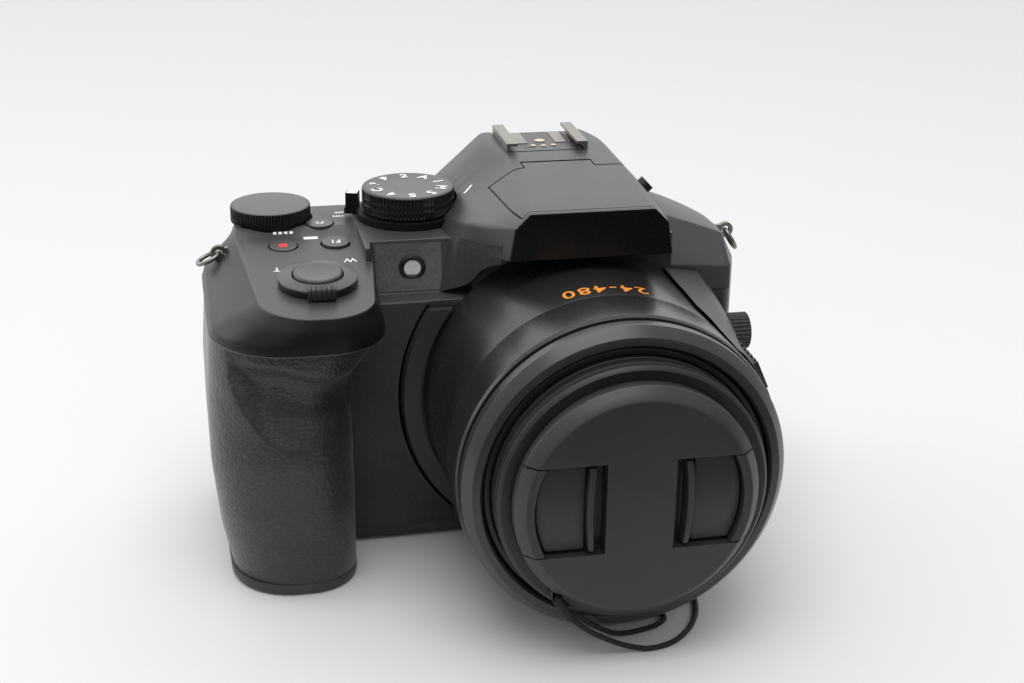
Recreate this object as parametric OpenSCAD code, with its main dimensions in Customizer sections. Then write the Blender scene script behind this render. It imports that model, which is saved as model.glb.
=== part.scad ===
// Bridge camera with a fixed zoom lens, a pinch lens cap and a pop-up flash.
// Millimetres. +X is to the right seen from the front, +Y is to the back, +Z is up.
// The origin is the mouth of the tripod socket, on the plane that the camera stands on.

/* [Body] */
// Distance from the lens axis to the outer side of the grip
body_left = 86.4; // [82:0.2:92]
// Distance from the lens axis to the other side of the body
body_right = 46; // [44:0.5:52]
// Distance from the tripod socket forward to the front plate
front_depth = 18.5; // [17:0.5:21]
// Distance from the tripod socket back to the rear wall
rear_depth = 24; // [23:0.5:28]
// Height of the split between the lower and the upper covers
seam_z = 60.5; // [59.5:0.5:63]
// Thickness of the base plate
base_t = 3; // [2.6:0.1:4]
// Wall thickness of the covers
wall_t = 2; // [1.6:0.1:2.6]
// Wall thickness of the rear cover behind the buttons
rear_wall_t = 3; // [2.6:0.1:4]
// Distance from the socket back to the split between the front and rear covers
split_y = 4; // [2:0.5:6]

/* [Grip] */
// Reach of the grip forward of the tripod socket
grip_front = 45; // [43:0.5:48]
// Depth of the finger hollow below the nose of the grip
finger_hollow = 3.5; // [1:0.25:4]
// How far the grip's foot is drawn in at the front
foot_draw = 3.5; // [2:0.25:4]
// Distance from the lens axis to the inner side of the grip
grip_inner = 54.5; // [53:0.5:57]
// Thickness of the rubber on the grip's inner side
rubber_t = 1.6; // [1.2:0.1:2]

/* [Top deck] */
// Height of the deck at the mode dial above the split
deck_rise = 14; // [13:0.25:16]
// Height of the sloping panel's front edge above the split
nose_rise = 8.5; // [7.5:0.25:9.5]
// Height of the sloping panel's rear edge above the split
panel_rise = 11.8; // [11:0.2:12.6]
// Height of the rear step above the split
step_rise = 13.2; // [12.8:0.1:13.8]
// Distance of the focus lamp's panel forward of the tripod socket
lamp_panel = 10; // [9:0.5:12]

/* [Hump] */
// Height of the accessory shoe's deck above the hump's underside
hump_over = 13.2; // [12.6:0.1:15]
// Reach of the hump's front face forward of the tripod socket
hump_front = 35.2; // [33:0.5:38]
// Half width of the hump's top
hump_top_w = 15.5; // [14.5:0.25:17]
// Distance of the hump's rear face behind the tripod socket
hump_rear = 31; // [30:0.5:33]
// Half width of the hump's foot
hump_foot = 24; // [23:0.25:25]
// Thickness of the gloss panel on the hump's front
badge_t = 0.8; // [0.6:0.1:1.2]

/* [Lens] */
// Radius of the fixed barrel
barrel_r = 36; // [34:0.1:38]
// Height of the barrel's lowest line above the table
lens_clear = 2.1; // [1.6:0.1:3]
// Reach of the fixed barrel forward of the tripod socket
barrel_front = 66.4; // [62:0.2:70]
// Length of the ring at the front of the barrel
ring_len = 6.35; // [5:0.05:8]
// How far the ring's front edge lies inside the barrel's radius
ring_slope = 1.6; // [1.2:0.1:2]
// Wall of the fixed barrel
barrel_wall = 4.5; // [4:0.1:5]
// Wall of the zoom tube
zoom_wall = 1.4; // [1.2:0.1:1.8]
// Sliding gap between the tubes
slide_gap = 0.25; // [0.15:0.05:0.4]
// Reach of the inner tube forward of the ring
tube_reach = 4.85; // [3:0.05:7]
// Wall of the inner tube at its filter thread
filter_wall = 3.7; // [3.4:0.1:4.1]
// Width of the seat between the filter thread and the front lens
lens_seat = 3.6; // [3:0.1:4.6]
// Width of the collar on the front plate, outside the barrel
collar_w = 5.5; // [4:0.25:7]
// Thickness of the collar
collar_t = 2; // [1.4:0.1:2.6]

/* [Lens cap] */
// How far the cap's rim covers the tube outside the filter thread
cap_cover = 0.6; // [0.4:0.1:2]
// Width of the slope at the cap's rim
cap_slope = 2.1; // [1.5:0.1:3.5]
// Thickness of the cap in front of the tube
cap_t = 5.2; // [4.6:0.1:6]
// Half height of the pinch clips
clip_h = 10.4; // [9:0.1:11.5]
// Distance from the lens axis to the inner end of a clip's window
clip_inner = 7.4; // [6.6:0.1:8]
// Travel of a pinch clip
clip_travel = 1.4; // [1:0.1:1.8]
// Diameter of the cap cord
cord_d = 1.2; // [0.8:0.1:1.5]

/* [Controls] */
// Radius of the mode dial
mode_r = 11.25; // [10.5:0.25:12]
// Height of the mode dial's knurled body
mode_h = 5.6; // [4.5:0.1:7]
// Radius of the power lever's disc
lever_r = 12.6; // [12.2:0.1:13.4]
// Radius of the rear dial
rear_dial_r = 9.7; // [9:0.1:10]
// Height of the rear dial
rear_dial_h = 3.2; // [2.6:0.1:4]
// Radius of the shutter button
shutter_r = 5.5; // [5:0.1:6]
// Radius of the zoom lever's ring
zoom_ring_r = 9; // [8.4:0.1:9.4]
// Travel of the shutter button
shutter_travel = 1; // [0.6:0.1:1.2]
// Travel of the small buttons
button_travel = 0.6; // [0.4:0.05:0.8]
// Radius of the top buttons
top_button_r = 3.2; // [2.8:0.1:3.6]
// Radius of the rear buttons
rear_button_r = 2.8; // [2.4:0.1:3.2]
// Radius of the side dial
side_dial_r = 4.5; // [4:0.1:5]

/* [Rear] */
// Width of the monitor
monitor_w = 76; // [72:0.5:78]
// Height of the monitor
monitor_h = 54; // [50:0.5:55]
// Thickness of the monitor
monitor_t = 6; // [5:0.1:7]
// Depth of the eyecup
eyecup_d = 6; // [5.6:0.1:9]

/* [Mounts and clearances] */
// Radius of the tripod socket, for a quarter-inch screw
socket_r = 2.6; // [2.5:0.05:3.2]
// Depth of the tripod socket
socket_len = 5.8; // [5:0.1:7]
// Radius of the tripod bush
bush_r = 6; // [5:0.25:8]
// Gap between fixed pieces that are slid together
seat_gap = 0.05; // [0.03:0.01:0.1]
// Running gap of shafts in their holes
run_gap = 0.05; // [0.03:0.01:0.1]
// Gap around a moving piece
move_gap = 0.3; // [0.25:0.05:0.4]

/* [Hidden] */
$fn = 64;

black = "#1d1d1f";
soft_black = "#151516";
grey = "#3a3a3d";
steel = "#c9c6bf";

// Height of the lens axis, and heights of the hump's underside over the barrel and of its top
lens_z = barrel_r + lens_clear;
hump_under = lens_z + barrel_r + 1.2;
hump_z = hump_under + hump_over;

// Heights of the upper covers
deck_z = seam_z + deck_rise;
nose_z = seam_z + nose_rise;
panel_z = seam_z + panel_rise;
step_z = seam_z + step_rise;

// Reach of the sloping panel: from its front edge back to the step
nose_front = grip_front - 3;
panel_rear = 2;
panel_tilt = atan((panel_z - nose_z) / (nose_front + panel_rear));
function panel_height(y) = nose_z + (y + nose_front) * tan(panel_tilt);

// Core of the grip under the rubber, and of the covers
core_left = body_left - 5;
core_front = grip_front - finger_hollow - 2.5;
core_inner = grip_inner + rubber_t;
core_w = core_left - core_inner;
rear_left = body_left - 2;

// Left side of the top cover at the split and at the deck
skirt_left = body_left - 1;
deck_left = body_left - 10;
nose_right = 46.5;
top_rear = rear_depth - 1.5;

// Lens tubes from the outside in
ring_front = barrel_front + ring_len;
ring_edge_r = barrel_r - ring_slope;
guide_r = barrel_r - barrel_wall;
collar_r = barrel_r + collar_w;
zoom_r = guide_r - slide_gap;
zoom_bore = zoom_r - zoom_wall;
inner_r = zoom_bore - slide_gap;
filter_r = inner_r - filter_wall;
lens_r = filter_r - lens_seat;
cap_r = filter_r + cap_cover;
cap_face_r = cap_r - cap_slope;
tube_front = ring_front + tube_reach;
tube_back = 28;
group_r = inner_r - 1.6;
seat_back = tube_front - 11.6;
seat_front = tube_front - 7.6;
cap_back = tube_front;
cap_front = cap_back + cap_t;
cap_rim = cap_front - 2.6;
clip_floor = cap_back + 1.2;
lens_hole_r = guide_r + 1;

// Places of the controls in plan
mode_at = [-35.2, 8];
rear_dial_at = [-68.2, 14.4];
shutter_at = [-60.5, -25];
movie_at = [-66.5, -2.6];
fn1_at = [-54.2, -2.6];
fn2_at = [-56.9, 8];
lever_z = deck_z + move_gap;
lever_t = 1.4;
mode_z = lever_z + lever_t + move_gap;
hub_r = 3;

// Pop-up flash: hinge and parting plane
hinge_y = 1.5;
hinge_r = 2;
hinge_z = hump_z - hinge_r - 0.1;
flash_front = hump_front - 1.2;
flash_cut_front = hump_z - 2.3;
flash_cut_rear = hump_z - 4.5;
ear_x = 8.5;
flash_pin_r = 0.9;
// The head's wings end this far ahead of the hinge; the gap behind them lets them swing clear of the edge
wing_back = 4.4;
wing_gap = wing_back - sqrt(pow(wing_back - 0.1, 2) - pow(hump_z - hinge_z, 2));

// Accessory shoe
shoe_front = 10.9;
shoe_len = 18.5;
shoe_w = 20.6;
shoe_floor = hump_z - 0.9;
shoe_top = hump_z + 2.2;
shoe_plate = 0.5;
lip_w = 2.8;
lip_t = 0.8;

// Monitor hinge
monitor_x = body_right - 4;
monitor_z = 4.5;
monitor_y = rear_depth + move_gap;
monitor_axis_y = monitor_y + monitor_t / 2;
hinge_inset = 6;
hinge_pin_r = 1.2;

// Unit vector along v
function unit(v) = v / norm(v);

// Points of an arc of radius r that rounds the corner b between a and c; a sharp corner is b itself
function corner(a, b, c, r, n) = r == 0 ? [b] :
    let (u = unit(a - b), v = unit(c - b), half = acos(u * v) / 2)
    let (centre = b + unit(u + v) * r / sin(half), start = b + u * r / tan(half) - centre)
    let (turn = u[0] * v[1] - u[1] * v[0] < 0 ? 1 : -1, from = atan2(start[1], start[0]))
    [for (i = [0:n]) centre + r * [cos(from + turn * (180 - 2 * half) * i / n),
        sin(from + turn * (180 - 2 * half) * i / n)]];

// Outline with rounded corners, from a list of [x, y, radius]
function rounded(pts, n = 5) =
    let (m = len(pts), flat = [for (p = pts) [p[0], p[1]]])
    [for (i = [0:m - 1]) each corner(flat[(i + m - 1) % m], flat[i], flat[(i + 1) % m], pts[i][2], n)];

// Rows of values on a smooth curve through given rows, with fill steps between two of them
function blended(rows, fill) = let (n = len(rows) - 1) [
    for (i = [0:n - 1], k = [0:fill - 1]) let (t = k / fill, a = rows[max(i - 1, 0)], b = rows[i],
        c = rows[i + 1], d = rows[min(i + 2, n)])
        0.5 * (2 * b + (c - a) * t + (2 * a - 5 * b + 4 * c - d) * t * t
            + (3 * b - a - 3 * c + d) * t * t * t),
    rows[n]];

// Ring of an outline at height z
function at_z(outline, z) = [for (p = outline) [p[0], p[1], z]];

// Section of points [x, z] at depth y
function at_y(section, y) = [for (p = section) [p[0], y, p[1]]];

// Solid through a stack of rings with the same number of points, with flat ends
module loft(rings) {
    m = len(rings[0]);
    n = len(rings);
    sides = [for (i = [0:n - 2]) for (j = [0:m - 1])
        let (a = i * m + j, b = i * m + (j + 1) % m, c = b + m, d = a + m) each [[a, d, c], [a, c, b]]];
    top = [for (j = [m:-1:1]) (n - 1) * m + j % m];
    polyhedron([for (r = rings) each r], concat([[for (j = [0:m - 1]) j], top], sides), convexity = 6);
}

// Solid of a profile [radius, distance forward] turned about the lens axis
module turned(profile) {
    translate([0, 0, lens_z]) rotate([90, 0, 0]) rotate_extrude() polygon(profile);
}

// Children placed along the lens axis: local z points forward
module on_axis(forward = 0) {
    translate([0, -forward, lens_z]) rotate([90, 0, 0]) children();
}

// Children placed on the sloping panel: local z is its normal
module on_panel(at) {
    translate([at[0], at[1], panel_height(at[1])]) rotate([panel_tilt, 0, 0]) children();
}

// Children placed on the rear wall at x, z: local z points back
module on_rear(x, z, y = rear_depth) {
    translate([x, y, z]) rotate([-90, 0, 0]) children();
}

// Children placed on the right side at y, z: local z points right
module on_side(y, z, x = body_right) {
    translate([x, y, z]) rotate([0, 90, 0]) children();
}

// Block from its lowest corner to its highest
module block(low, high) {
    translate(low) cube(high - low);
}

// Corner cut away beside the lens, in plan
side_cut = [7, 18.5];

// Plan outline of the front cover and of the core of the grip, drawn in by d and open to the back
function front_outline(d) = rounded([
    [body_right - side_cut[0] - 0.69 * d, -front_depth + d, 3 - d / 2],
    [body_right - d, -front_depth + side_cut[1] + 0.18 * d, 5 - d],
    [body_right - d, split_y + abs(d), 0],
    [-core_left + d, split_y + abs(d), 0],
    [-core_left + d, -core_front + d, 0.48 * core_w - d],
    [-core_inner - d, -core_front + d, 0.38 * core_w - d],
    [-core_inner - d, -front_depth + d, 3 + d]]);

// Sizes of the grip at height z
function grip_front_at(z) = grip_front - lookup(z, [[0, foot_draw + 1], [3, foot_draw], [20, 0.6],
    [34, 0], [42, finger_hollow * 0.45], [47, finger_hollow * 0.95], [51, finger_hollow],
    [54, finger_hollow * 0.8], [57, 1.4], [60, 0.7], [63, 0.7]]);
function grip_left_at(z) = body_left - lookup(z, [[0, 4.4], [3, 3.8], [14, 1.6], [30, 0], [46, 0], [60,
    1], [63, 1]]);
function grip_inner_at(z) = grip_inner - lookup(z, [[0, 0.6], [46, 0], [52, 0.8], [56, 3.5], [60, 7],
    [63, 7]]);

// Plan outline of the grip at height z; its corner radii go with its width
function grip_outline(z) =
    let (left = grip_left_at(z), inner = grip_inner_at(z), front = grip_front_at(z), w = left - inner)
    rounded([[-inner, split_y, 0], [-left, split_y, 0], [-left, -front, 0.52 * w], [-inner, -front,
        0.4 * w]], 7);

grip_steps = 14;

module front_cover() {
    color(black) difference() {
        translate([0, 0, base_t]) linear_extrude(seam_z - base_t) difference() {
            polygon(front_outline(0));
            polygon(front_outline(wall_t));
        }
        on_axis(front_depth - 2 * wall_t) cylinder(r = lens_hole_r, h = 3 * wall_t);
    }
}

module grip_rubber() {
    color(soft_black) difference() {
        loft([for (i = [0:grip_steps]) let (z = base_t + (seam_z - base_t) * i / grip_steps)
            at_z(grip_outline(z), z)]);
        translate([0, 0, base_t - 1]) linear_extrude(seam_z) polygon(front_outline(-2 * seat_gap));
    }
}

// Plan outline of the rear cover, drawn in by d at the sides and by b at the back
function rear_outline(d, b) = rounded([
    [body_right - d, split_y - d, 0],
    [body_right - d, rear_depth - b, 9 - d],
    [-rear_left + d, rear_depth - b, 12 - d],
    [-rear_left + d, split_y - d, 0]]);

module rear_cover() {
    color(black) difference() {
        union() {
            translate([0, 0, base_t]) linear_extrude(seam_z - base_t) difference() {
                polygon(rear_outline(0, 0));
                polygon(rear_outline(wall_t, rear_wall_t));
            }
            monitor_ears();
        }
        rear_pockets();
        terminal_recess();
        monitor_pin(hinge_pin_r + run_gap);
    }
}

// Places of the rear controls [x, z]
pad_at = [-60, 26];
pad_r = 9;
set_r = 4;
play_at = [-48, 47];
lock_at = [-60, 47];
pocket_floor = rear_depth - button_travel - 0.9;

// Pockets in the rear cover for its buttons
module rear_pockets() {
    on_rear(pad_at[0], pad_at[1], pocket_floor) cylinder(r = pad_r + move_gap, h = 5);
    for (p = [play_at, lock_at])
        on_rear(p[0], p[1], pocket_floor) cylinder(r = rear_button_r + move_gap, h = 5);
}

module cursor_pad() {
    color(soft_black) on_rear(pad_at[0], pad_at[1], pocket_floor + button_travel + 0.2) difference() {
        cylinder(r = pad_r, h = 1.6);
        translate([0, 0, -1]) cylinder(r = set_r + move_gap, h = 4);
    }
}

module set_button() {
    color(soft_black) on_rear(pad_at[0], pad_at[1],
        pocket_floor + button_travel + 0.2) cylinder(r = set_r, h = 2);
}

module rear_button(at) {
    color(soft_black) on_rear(at[0], at[1],
        pocket_floor + button_travel + 0.2) cylinder(r = rear_button_r, h = 1.7);
}

module play_button() { rear_button(play_at); }
module lock_button() { rear_button(lock_at); }

// Corners of the thumb rest [x, z], its corner radius at the foot and at the face, and its thickness
thumb_x = [-body_left + 6.4, -body_left + 17.4];
thumb_z = [seam_z - 20.5, seam_z - 6.5];
thumb_r = [4, 2.6];
thumb_t = 2.4;

module thumb_rest() {
    color(soft_black) hull() for (x = thumb_x, z = thumb_z)
        on_rear(x, z) cylinder(r1 = thumb_r[0], r2 = thumb_r[1], h = thumb_t, $fn = 32);
}

// Plan outline of the base plate with the foot of the grip, drawn in by d, and twice as far at the front plate
function base_outline(d) =
    let (left = grip_left_at(base_t), inner = grip_inner_at(base_t), front = grip_front_at(base_t),
        w = left - inner)
    rounded([
        [-inner - d, -front_depth + 2 * d, 0],
        [body_right - side_cut[0] - 0.69 * d, -front_depth + 2 * d, 3],
        [body_right - d, -front_depth + side_cut[1] + 0.18 * d, 5],
        [body_right - d, rear_depth - d, 9],
        [-rear_left + d, rear_depth - d, 12],
        [-left + d, -front + d, 0.5 * w - d],
        [-inner - d, -front + d, 0.4 * w - d]], 7);
edge_steps = [[0, 1.6], [0.5, 0.7], [1.3, 0.15], [base_t, 0]];

door_x = [-78.5, -57.5];
door_y = [-32, 0];
door_t = 2.4;
door_pin_r = 0.6;
door_pin_len = 1.4;

module bottom_cover() {
    color(black) difference() {
        loft([for (s = edge_steps) at_z(base_outline(s[1]), s[0])]);
        block([door_x[0] - move_gap, door_y[0] - move_gap, -1],
            [door_x[1] + door_t / 2 + move_gap, door_y[1] + move_gap, base_t + 1]);
        translate([door_x[1], door_y[0] - door_pin_len - move_gap - 0.2, door_t / 2]) rotate([-90, 0, 0])
            cylinder(r = door_pin_r + run_gap,
                h = door_y[1] - door_y[0] + 2 * (door_pin_len + move_gap + 0.2));
        translate([0, 0, -1]) cylinder(r = bush_r + seat_gap, h = base_t + 2);
    }
}

module battery_door() {
    color(black) {
        block([door_x[0], door_y[0], 0], [door_x[1], door_y[1], door_t]);
        translate([door_x[1], door_y[0], door_t / 2]) rotate([-90, 0, 0])
            cylinder(r = door_t / 2, h = door_y[1] - door_y[0]);
        translate([door_x[1], door_y[0] - door_pin_len, door_t / 2]) rotate([-90, 0, 0])
            cylinder(r = door_pin_r, h = door_y[1] - door_y[0] + 2 * door_pin_len);
    }
}

sleeve_t = 0.8;
sleeve_gap = 0.4;
battery_at = [-core_left + wall_t + sleeve_gap + sleeve_t, door_y[0] + 6, door_t + move_gap];
battery_size = [core_w - 2 * (wall_t + sleeve_gap + sleeve_t), 19, 46];

module battery() {
    color("#2b2b2e") translate(battery_at) cube(battery_size);
}

module tripod_bush() {
    color("#b9b6ae") difference() {
        union() {
            cylinder(r = bush_r, h = base_t + 1);
            translate([0, 0, base_t]) cylinder(r = bush_r + 2, h = socket_len + 1.2 - base_t);
        }
        translate([0, 0, -1]) cylinder(r = socket_r, h = socket_len + 1);
    }
}

// Lean of the lamp panel: how much further forward its foot lies than its top
panel_lean = 3.2;

// Upper cover on the grip side, from the grip's outer side to the hump. Its outline at one height:
// l = [height above the split, left side at the back, left side at the front, reach, right side at the
// lamp panel, right side at the front, lean of the lamp panel, radius at the left, radius at the right, rear]
function top_outline(l) = rounded([
    [-l[4], -lamp_panel - l[6], 0],
    [-hump_foot, -lamp_panel - l[6], 0],
    [-hump_foot, l[9], 0],
    [-l[1], l[9], 12],
    [-l[1], split_y, 0],
    [-l[2], -l[3], l[7]],
    [-l[5], -l[3], l[8]]], 7);
top_levels = [
    [0, skirt_left, skirt_left, grip_front - 0.7, nose_right, nose_right, panel_lean, 18, 13.5, top_rear],
    [2.5, skirt_left - 0.7, skirt_left - 1.2, grip_front - 0.7, nose_right, nose_right + 0.3,
        panel_lean * 0.85,
        17.5, 13, top_rear],
    [nose_rise - 3, skirt_left - 3.1, skirt_left - 5.4, grip_front - 0.9, nose_right, nose_right + 1.5,
        panel_lean * 0.6, 16, 12, top_rear],
    [nose_rise - 0.5, skirt_left - 5.6, skirt_left - 10.9, grip_front - 1.5, nose_right, nose_right + 3.1,
        panel_lean * 0.42, 14, 10.5, top_rear - 0.3],
    [nose_rise + 1.5, skirt_left - 7.2, skirt_left - 14.6, grip_front - 2.3, nose_right + 0.1,
        nose_right + 4,
        panel_lean * 0.28, 11.5, 9, top_rear - 0.5],
    [deck_rise + 1, skirt_left - 9, skirt_left - 18, grip_front - 4, nose_right + 0.3, nose_right + 4.6, 0,
        9, 7, top_rear - 1]];

// Thickness of the ledge in front of the lamp panel
ledge_t = 1.6;

// Profile of the deck in depth and height
deck_profile = [[-grip_front - 5, seam_z - 1], [-grip_front - 5, panel_height(-grip_front - 5)],
    [panel_rear, panel_z], [panel_rear + 4, step_z], [rear_depth + 5, step_z], [rear_depth + 5,
        seam_z - 1]];

module deck_cut(profile, from, to) {
    translate([from, 0, 0]) rotate([90, 0, 90]) linear_extrude(to - from) polygon(profile);
}

module top_cover() {
    platform_x = -47.5;
    color(black) difference() {
        union() {
            intersection() {
                loft([for (l = blended(top_levels, 2)) at_z(top_outline(l), seam_z + l[0])]);
                union() {
                    deck_cut(deck_profile, -body_left - 5, platform_x);
                    block([platform_x - 1, -lamp_panel - 5, seam_z - 1], [-hump_foot + 1, rear_depth + 5,
                        deck_z]);
                }
            }
            block([-nose_right - 3, -front_depth, seam_z], [-hump_foot, -lamp_panel, seam_z + ledge_t]);
        }
        top_cavity();
        top_pockets();
        lug_seat(-1);
    }
}

// Room inside the top cover for the control boards
module top_cavity() {
    ceiling = nose_z - 3.6;
    translate([0, 0, seam_z - 1]) linear_extrude(ceiling - seam_z + 1) polygon(rounded([
        [-hump_foot - wall_t, -lamp_panel + wall_t, 1],
        [-hump_foot - wall_t, top_rear - wall_t - 1, 1],
        [-deck_left + wall_t + 1, top_rear - wall_t - 1, 8],
        [-deck_left + wall_t + 1, -nose_front + 3.5, 12],
        [-nose_right - 3, -nose_front + 3.5, 8],
        [-nose_right - 3, -lamp_panel + wall_t, 2]]));
}

// Depth of the top buttons' pockets, and how far the buttons stand proud
top_pocket = 2;
button_proud = 0.5;
shutter_pocket = 2.4;

// Pockets and holes in the top cover for its controls
module top_pockets() {
    for (p = [movie_at, fn1_at])
        on_panel(p) translate([0, 0, -top_pocket]) cylinder(r = top_button_r + move_gap, h = 6);
    translate([fn2_at[0], fn2_at[1], step_z - top_pocket]) cylinder(r = top_button_r + move_gap, h = 6);
    on_panel(shutter_at) translate([0, 0, -shutter_pocket]) cylinder(r = shutter_r + move_gap, h = 6);
    translate([mode_at[0], mode_at[1], seam_z - 1]) cylinder(r = hub_r + run_gap, h = 30);
    translate([rear_dial_at[0], rear_dial_at[1], seam_z - 1]) cylinder(r = hub_r + run_gap, h = 30);
    translate([rear_dial_at[0], rear_dial_at[1], step_z - 1]) cylinder(r = rear_dial_r + move_gap, h = 6);
    af_lamp_hole();
}

module top_button(floor, proud) {
    rise = top_pocket + proud - button_travel - 0.2;
    translate([0, 0, floor + button_travel + 0.2]) cylinder(r = top_button_r, h = rise);
}

module movie_button() {
    color(grey) on_panel(movie_at) top_button(-top_pocket, 0.1);
}

module fn1_button() {
    color(grey) on_panel(fn1_at) top_button(-top_pocket, button_proud);
}

module fn2_button() {
    color(grey) translate([fn2_at[0], fn2_at[1], step_z]) top_button(-top_pocket, 0.1);
}

zoom_ring_t = 2.2;
shutter_proud = 3;

module shutter_button() {
    rise = shutter_pocket + shutter_proud - shutter_travel - 0.2;
    color(grey) on_panel(shutter_at) translate([0, 0, shutter_travel + 0.2 - shutter_pocket])
        cylinder(r = shutter_r, h = rise);
}

module zoom_lever() {
    tab_w = 6.2;
    tab_reach = 1.6;
    color(grey) on_panel(shutter_at) translate([0, 0, move_gap]) difference() {
        union() {
            cylinder(r = zoom_ring_r, h = zoom_ring_t);
            block([-tab_w / 2, -zoom_ring_r - tab_reach, 0], [tab_w / 2, -shutter_r - 2,
                zoom_ring_t + 0.9]);
        }
        translate([0, 0, -1]) cylinder(r = shutter_r + move_gap, h = 6);
    }
}

mode_teeth = 44;
tooth_depth = 0.45;

// Row of flutes cut around a dial of radius r
module flutes(r, h, count, deep = tooth_depth) {
    for (i = [0:count - 1]) rotate([0, 0, 360 * i / count]) translate([r + deep, 0, -1])
        cylinder(r = 2 * deep, h = h + 2);
}

module mode_dial() {
    color(grey) translate([mode_at[0], mode_at[1], 0]) union() {
        translate([0, 0, mode_z]) difference() {
            cylinder(r = mode_r, h = mode_h);
            flutes(mode_r, mode_h, mode_teeth);
        }
        translate([0, 0, seam_z + 5]) cylinder(r = hub_r, h = mode_z - seam_z - 4.5);
    }
}

lever_angle = 163;

module power_lever() {
    tab_h = 5.2;
    color(soft_black) translate([mode_at[0], mode_at[1], lever_z]) difference() {
        union() {
            cylinder(r = lever_r, h = lever_t);
            rotate([0, 0, lever_angle]) block([lever_r - 1, -1.5, 0], [lever_r + 3, 1.5, lever_t]);
            rotate([0, 0, lever_angle]) block([mode_r + 1, -1.5, 0.2], [mode_r + 4, 1.5, tab_h]);
        }
        translate([0, 0, -1]) cylinder(r = hub_r + run_gap, h = 10);
    }
}

module rear_dial() {
    count = 56;
    color(grey) translate([rear_dial_at[0], rear_dial_at[1], 0]) union() {
        translate([0, 0, step_z - 1 + move_gap]) difference() {
            cylinder(r = rear_dial_r, h = rear_dial_h + 1);
            flutes(rear_dial_r, rear_dial_h + 1, count, 0.35);
        }
        translate([0, 0, seam_z + 4]) cylinder(r = hub_r, h = step_z - seam_z - 4.5);
    }
}

// Focus lamp in the panel between the grip and the lens
lamp_at = [-37.2, 68];
lamp_r = 2.7;
lamp_len = 3.9;

module af_lamp_hole() {
    translate([lamp_at[0], -lamp_panel + 2, lamp_at[1]]) rotate([90, 0,
        0]) cylinder(r = lamp_r + seat_gap, h = 6);
}

module af_lamp() {
    color("#cfcac4") translate([lamp_at[0], -lamp_panel + 2, lamp_at[1]]) rotate([90, 0, 0])
        cylinder(r = lamp_r, h = lamp_len);
}

// Outer form of the hump
hump_slope = hump_foot + 5.5;
shoulder_z = seam_z + 18.8;

// Six-sided face of the gloss panel: half widths and heights of its foot, edge and top
panel_low_w = hump_foot - 5.2;
panel_low = hump_under + 1.4;
panel_edge_w = hump_foot - 6.4;
panel_edge = hump_z - 4.2;
panel_top_w = hump_top_w - 1.2;
panel_top = hump_z - 0.9;

// Half sections of the hump: [depth, foot, height of the foot, edge, height of the edge, top,
// height of the top, radius at the edge, radius at the top]
hump_left = [
    [hump_rear, hump_foot + 3, deck_z, hump_foot + 2, deck_z + 2, hump_top_w - 2.5, hump_z - 0.2, 2, 3],
    [hump_rear - 10, hump_slope, deck_z, hump_slope - 0.8, deck_z + 1.4, hump_top_w - 2, hump_z, 3, 5],
    [hinge_y + 3.5, hump_slope, deck_z, hump_slope - 0.9, deck_z + 1.6, hump_top_w - 5, hump_z, 3, 6],
    [-lamp_panel, hump_foot + 3.9, deck_z, hump_foot + 2.4, hump_z - 10.3, hump_top_w - 4, hump_z - 0.2,
        2, 6],
    [-front_depth, hump_foot + 0.9, deck_z + 0.5, hump_foot, hump_z - 8.2, hump_top_w - 3.1,
        hump_z - 0.35, 2.2, 5],
    [-hump_front + 8.2, hump_foot - 1.8, hump_under + 0.3, hump_foot - 2.6, hump_z - 6.1,
        hump_top_w - 2.1, hump_z - 0.6, 2, 3],
    [-hump_front, panel_low_w, panel_low, panel_edge_w, panel_edge, panel_top_w, panel_top, 1, 1]];
hump_right = [
    [hump_rear, hump_foot, deck_z, hump_foot - 1.5, shoulder_z - 0.5, hump_top_w - 2, hump_z - 0.2, 2, 3],
    [hump_rear - 10, hump_foot, deck_z, hump_foot, shoulder_z, hump_top_w, hump_z, 1.5, 2],
    [hinge_y + 3.5, hump_foot, deck_z, hump_foot, shoulder_z, hump_top_w, hump_z, 1.5, 2],
    [-lamp_panel, hump_foot, deck_z, hump_foot - 1, hump_z - 8.9, hump_top_w, hump_z - 0.2, 1.5, 2],
    [-front_depth, hump_foot - 1.2, deck_z + 0.8, hump_foot - 2.4, hump_z - 7.9, hump_top_w - 0.4,
        hump_z - 0.4, 1.5, 2],
    [-hump_front + 8.2, hump_foot - 2.7, hump_under + 0.5, hump_foot - 4, hump_z - 6.5, hump_top_w - 0.7,
        hump_z - 0.6, 1.5, 2],
    [-hump_front, panel_low_w, panel_low, panel_edge_w, panel_edge, panel_top_w, panel_top, 1, 1]];

// Full section of the hump from a left and a right half, from the left foot round to the left edge.
// It stays on the deck and within the plane where the shoulder cover begins
function hump_section(l, r) = at_y(rounded([
    [-l[1], max(l[2], deck_z), 0], [min(r[1], hump_foot), max(r[2], deck_z), 0],
    [min(r[3], hump_foot), r[4], r[7]], [r[5], r[6], r[8]], [-l[5], l[6], l[8]],
    [-l[3], l[4], l[7]]], 4), l[0]);

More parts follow.
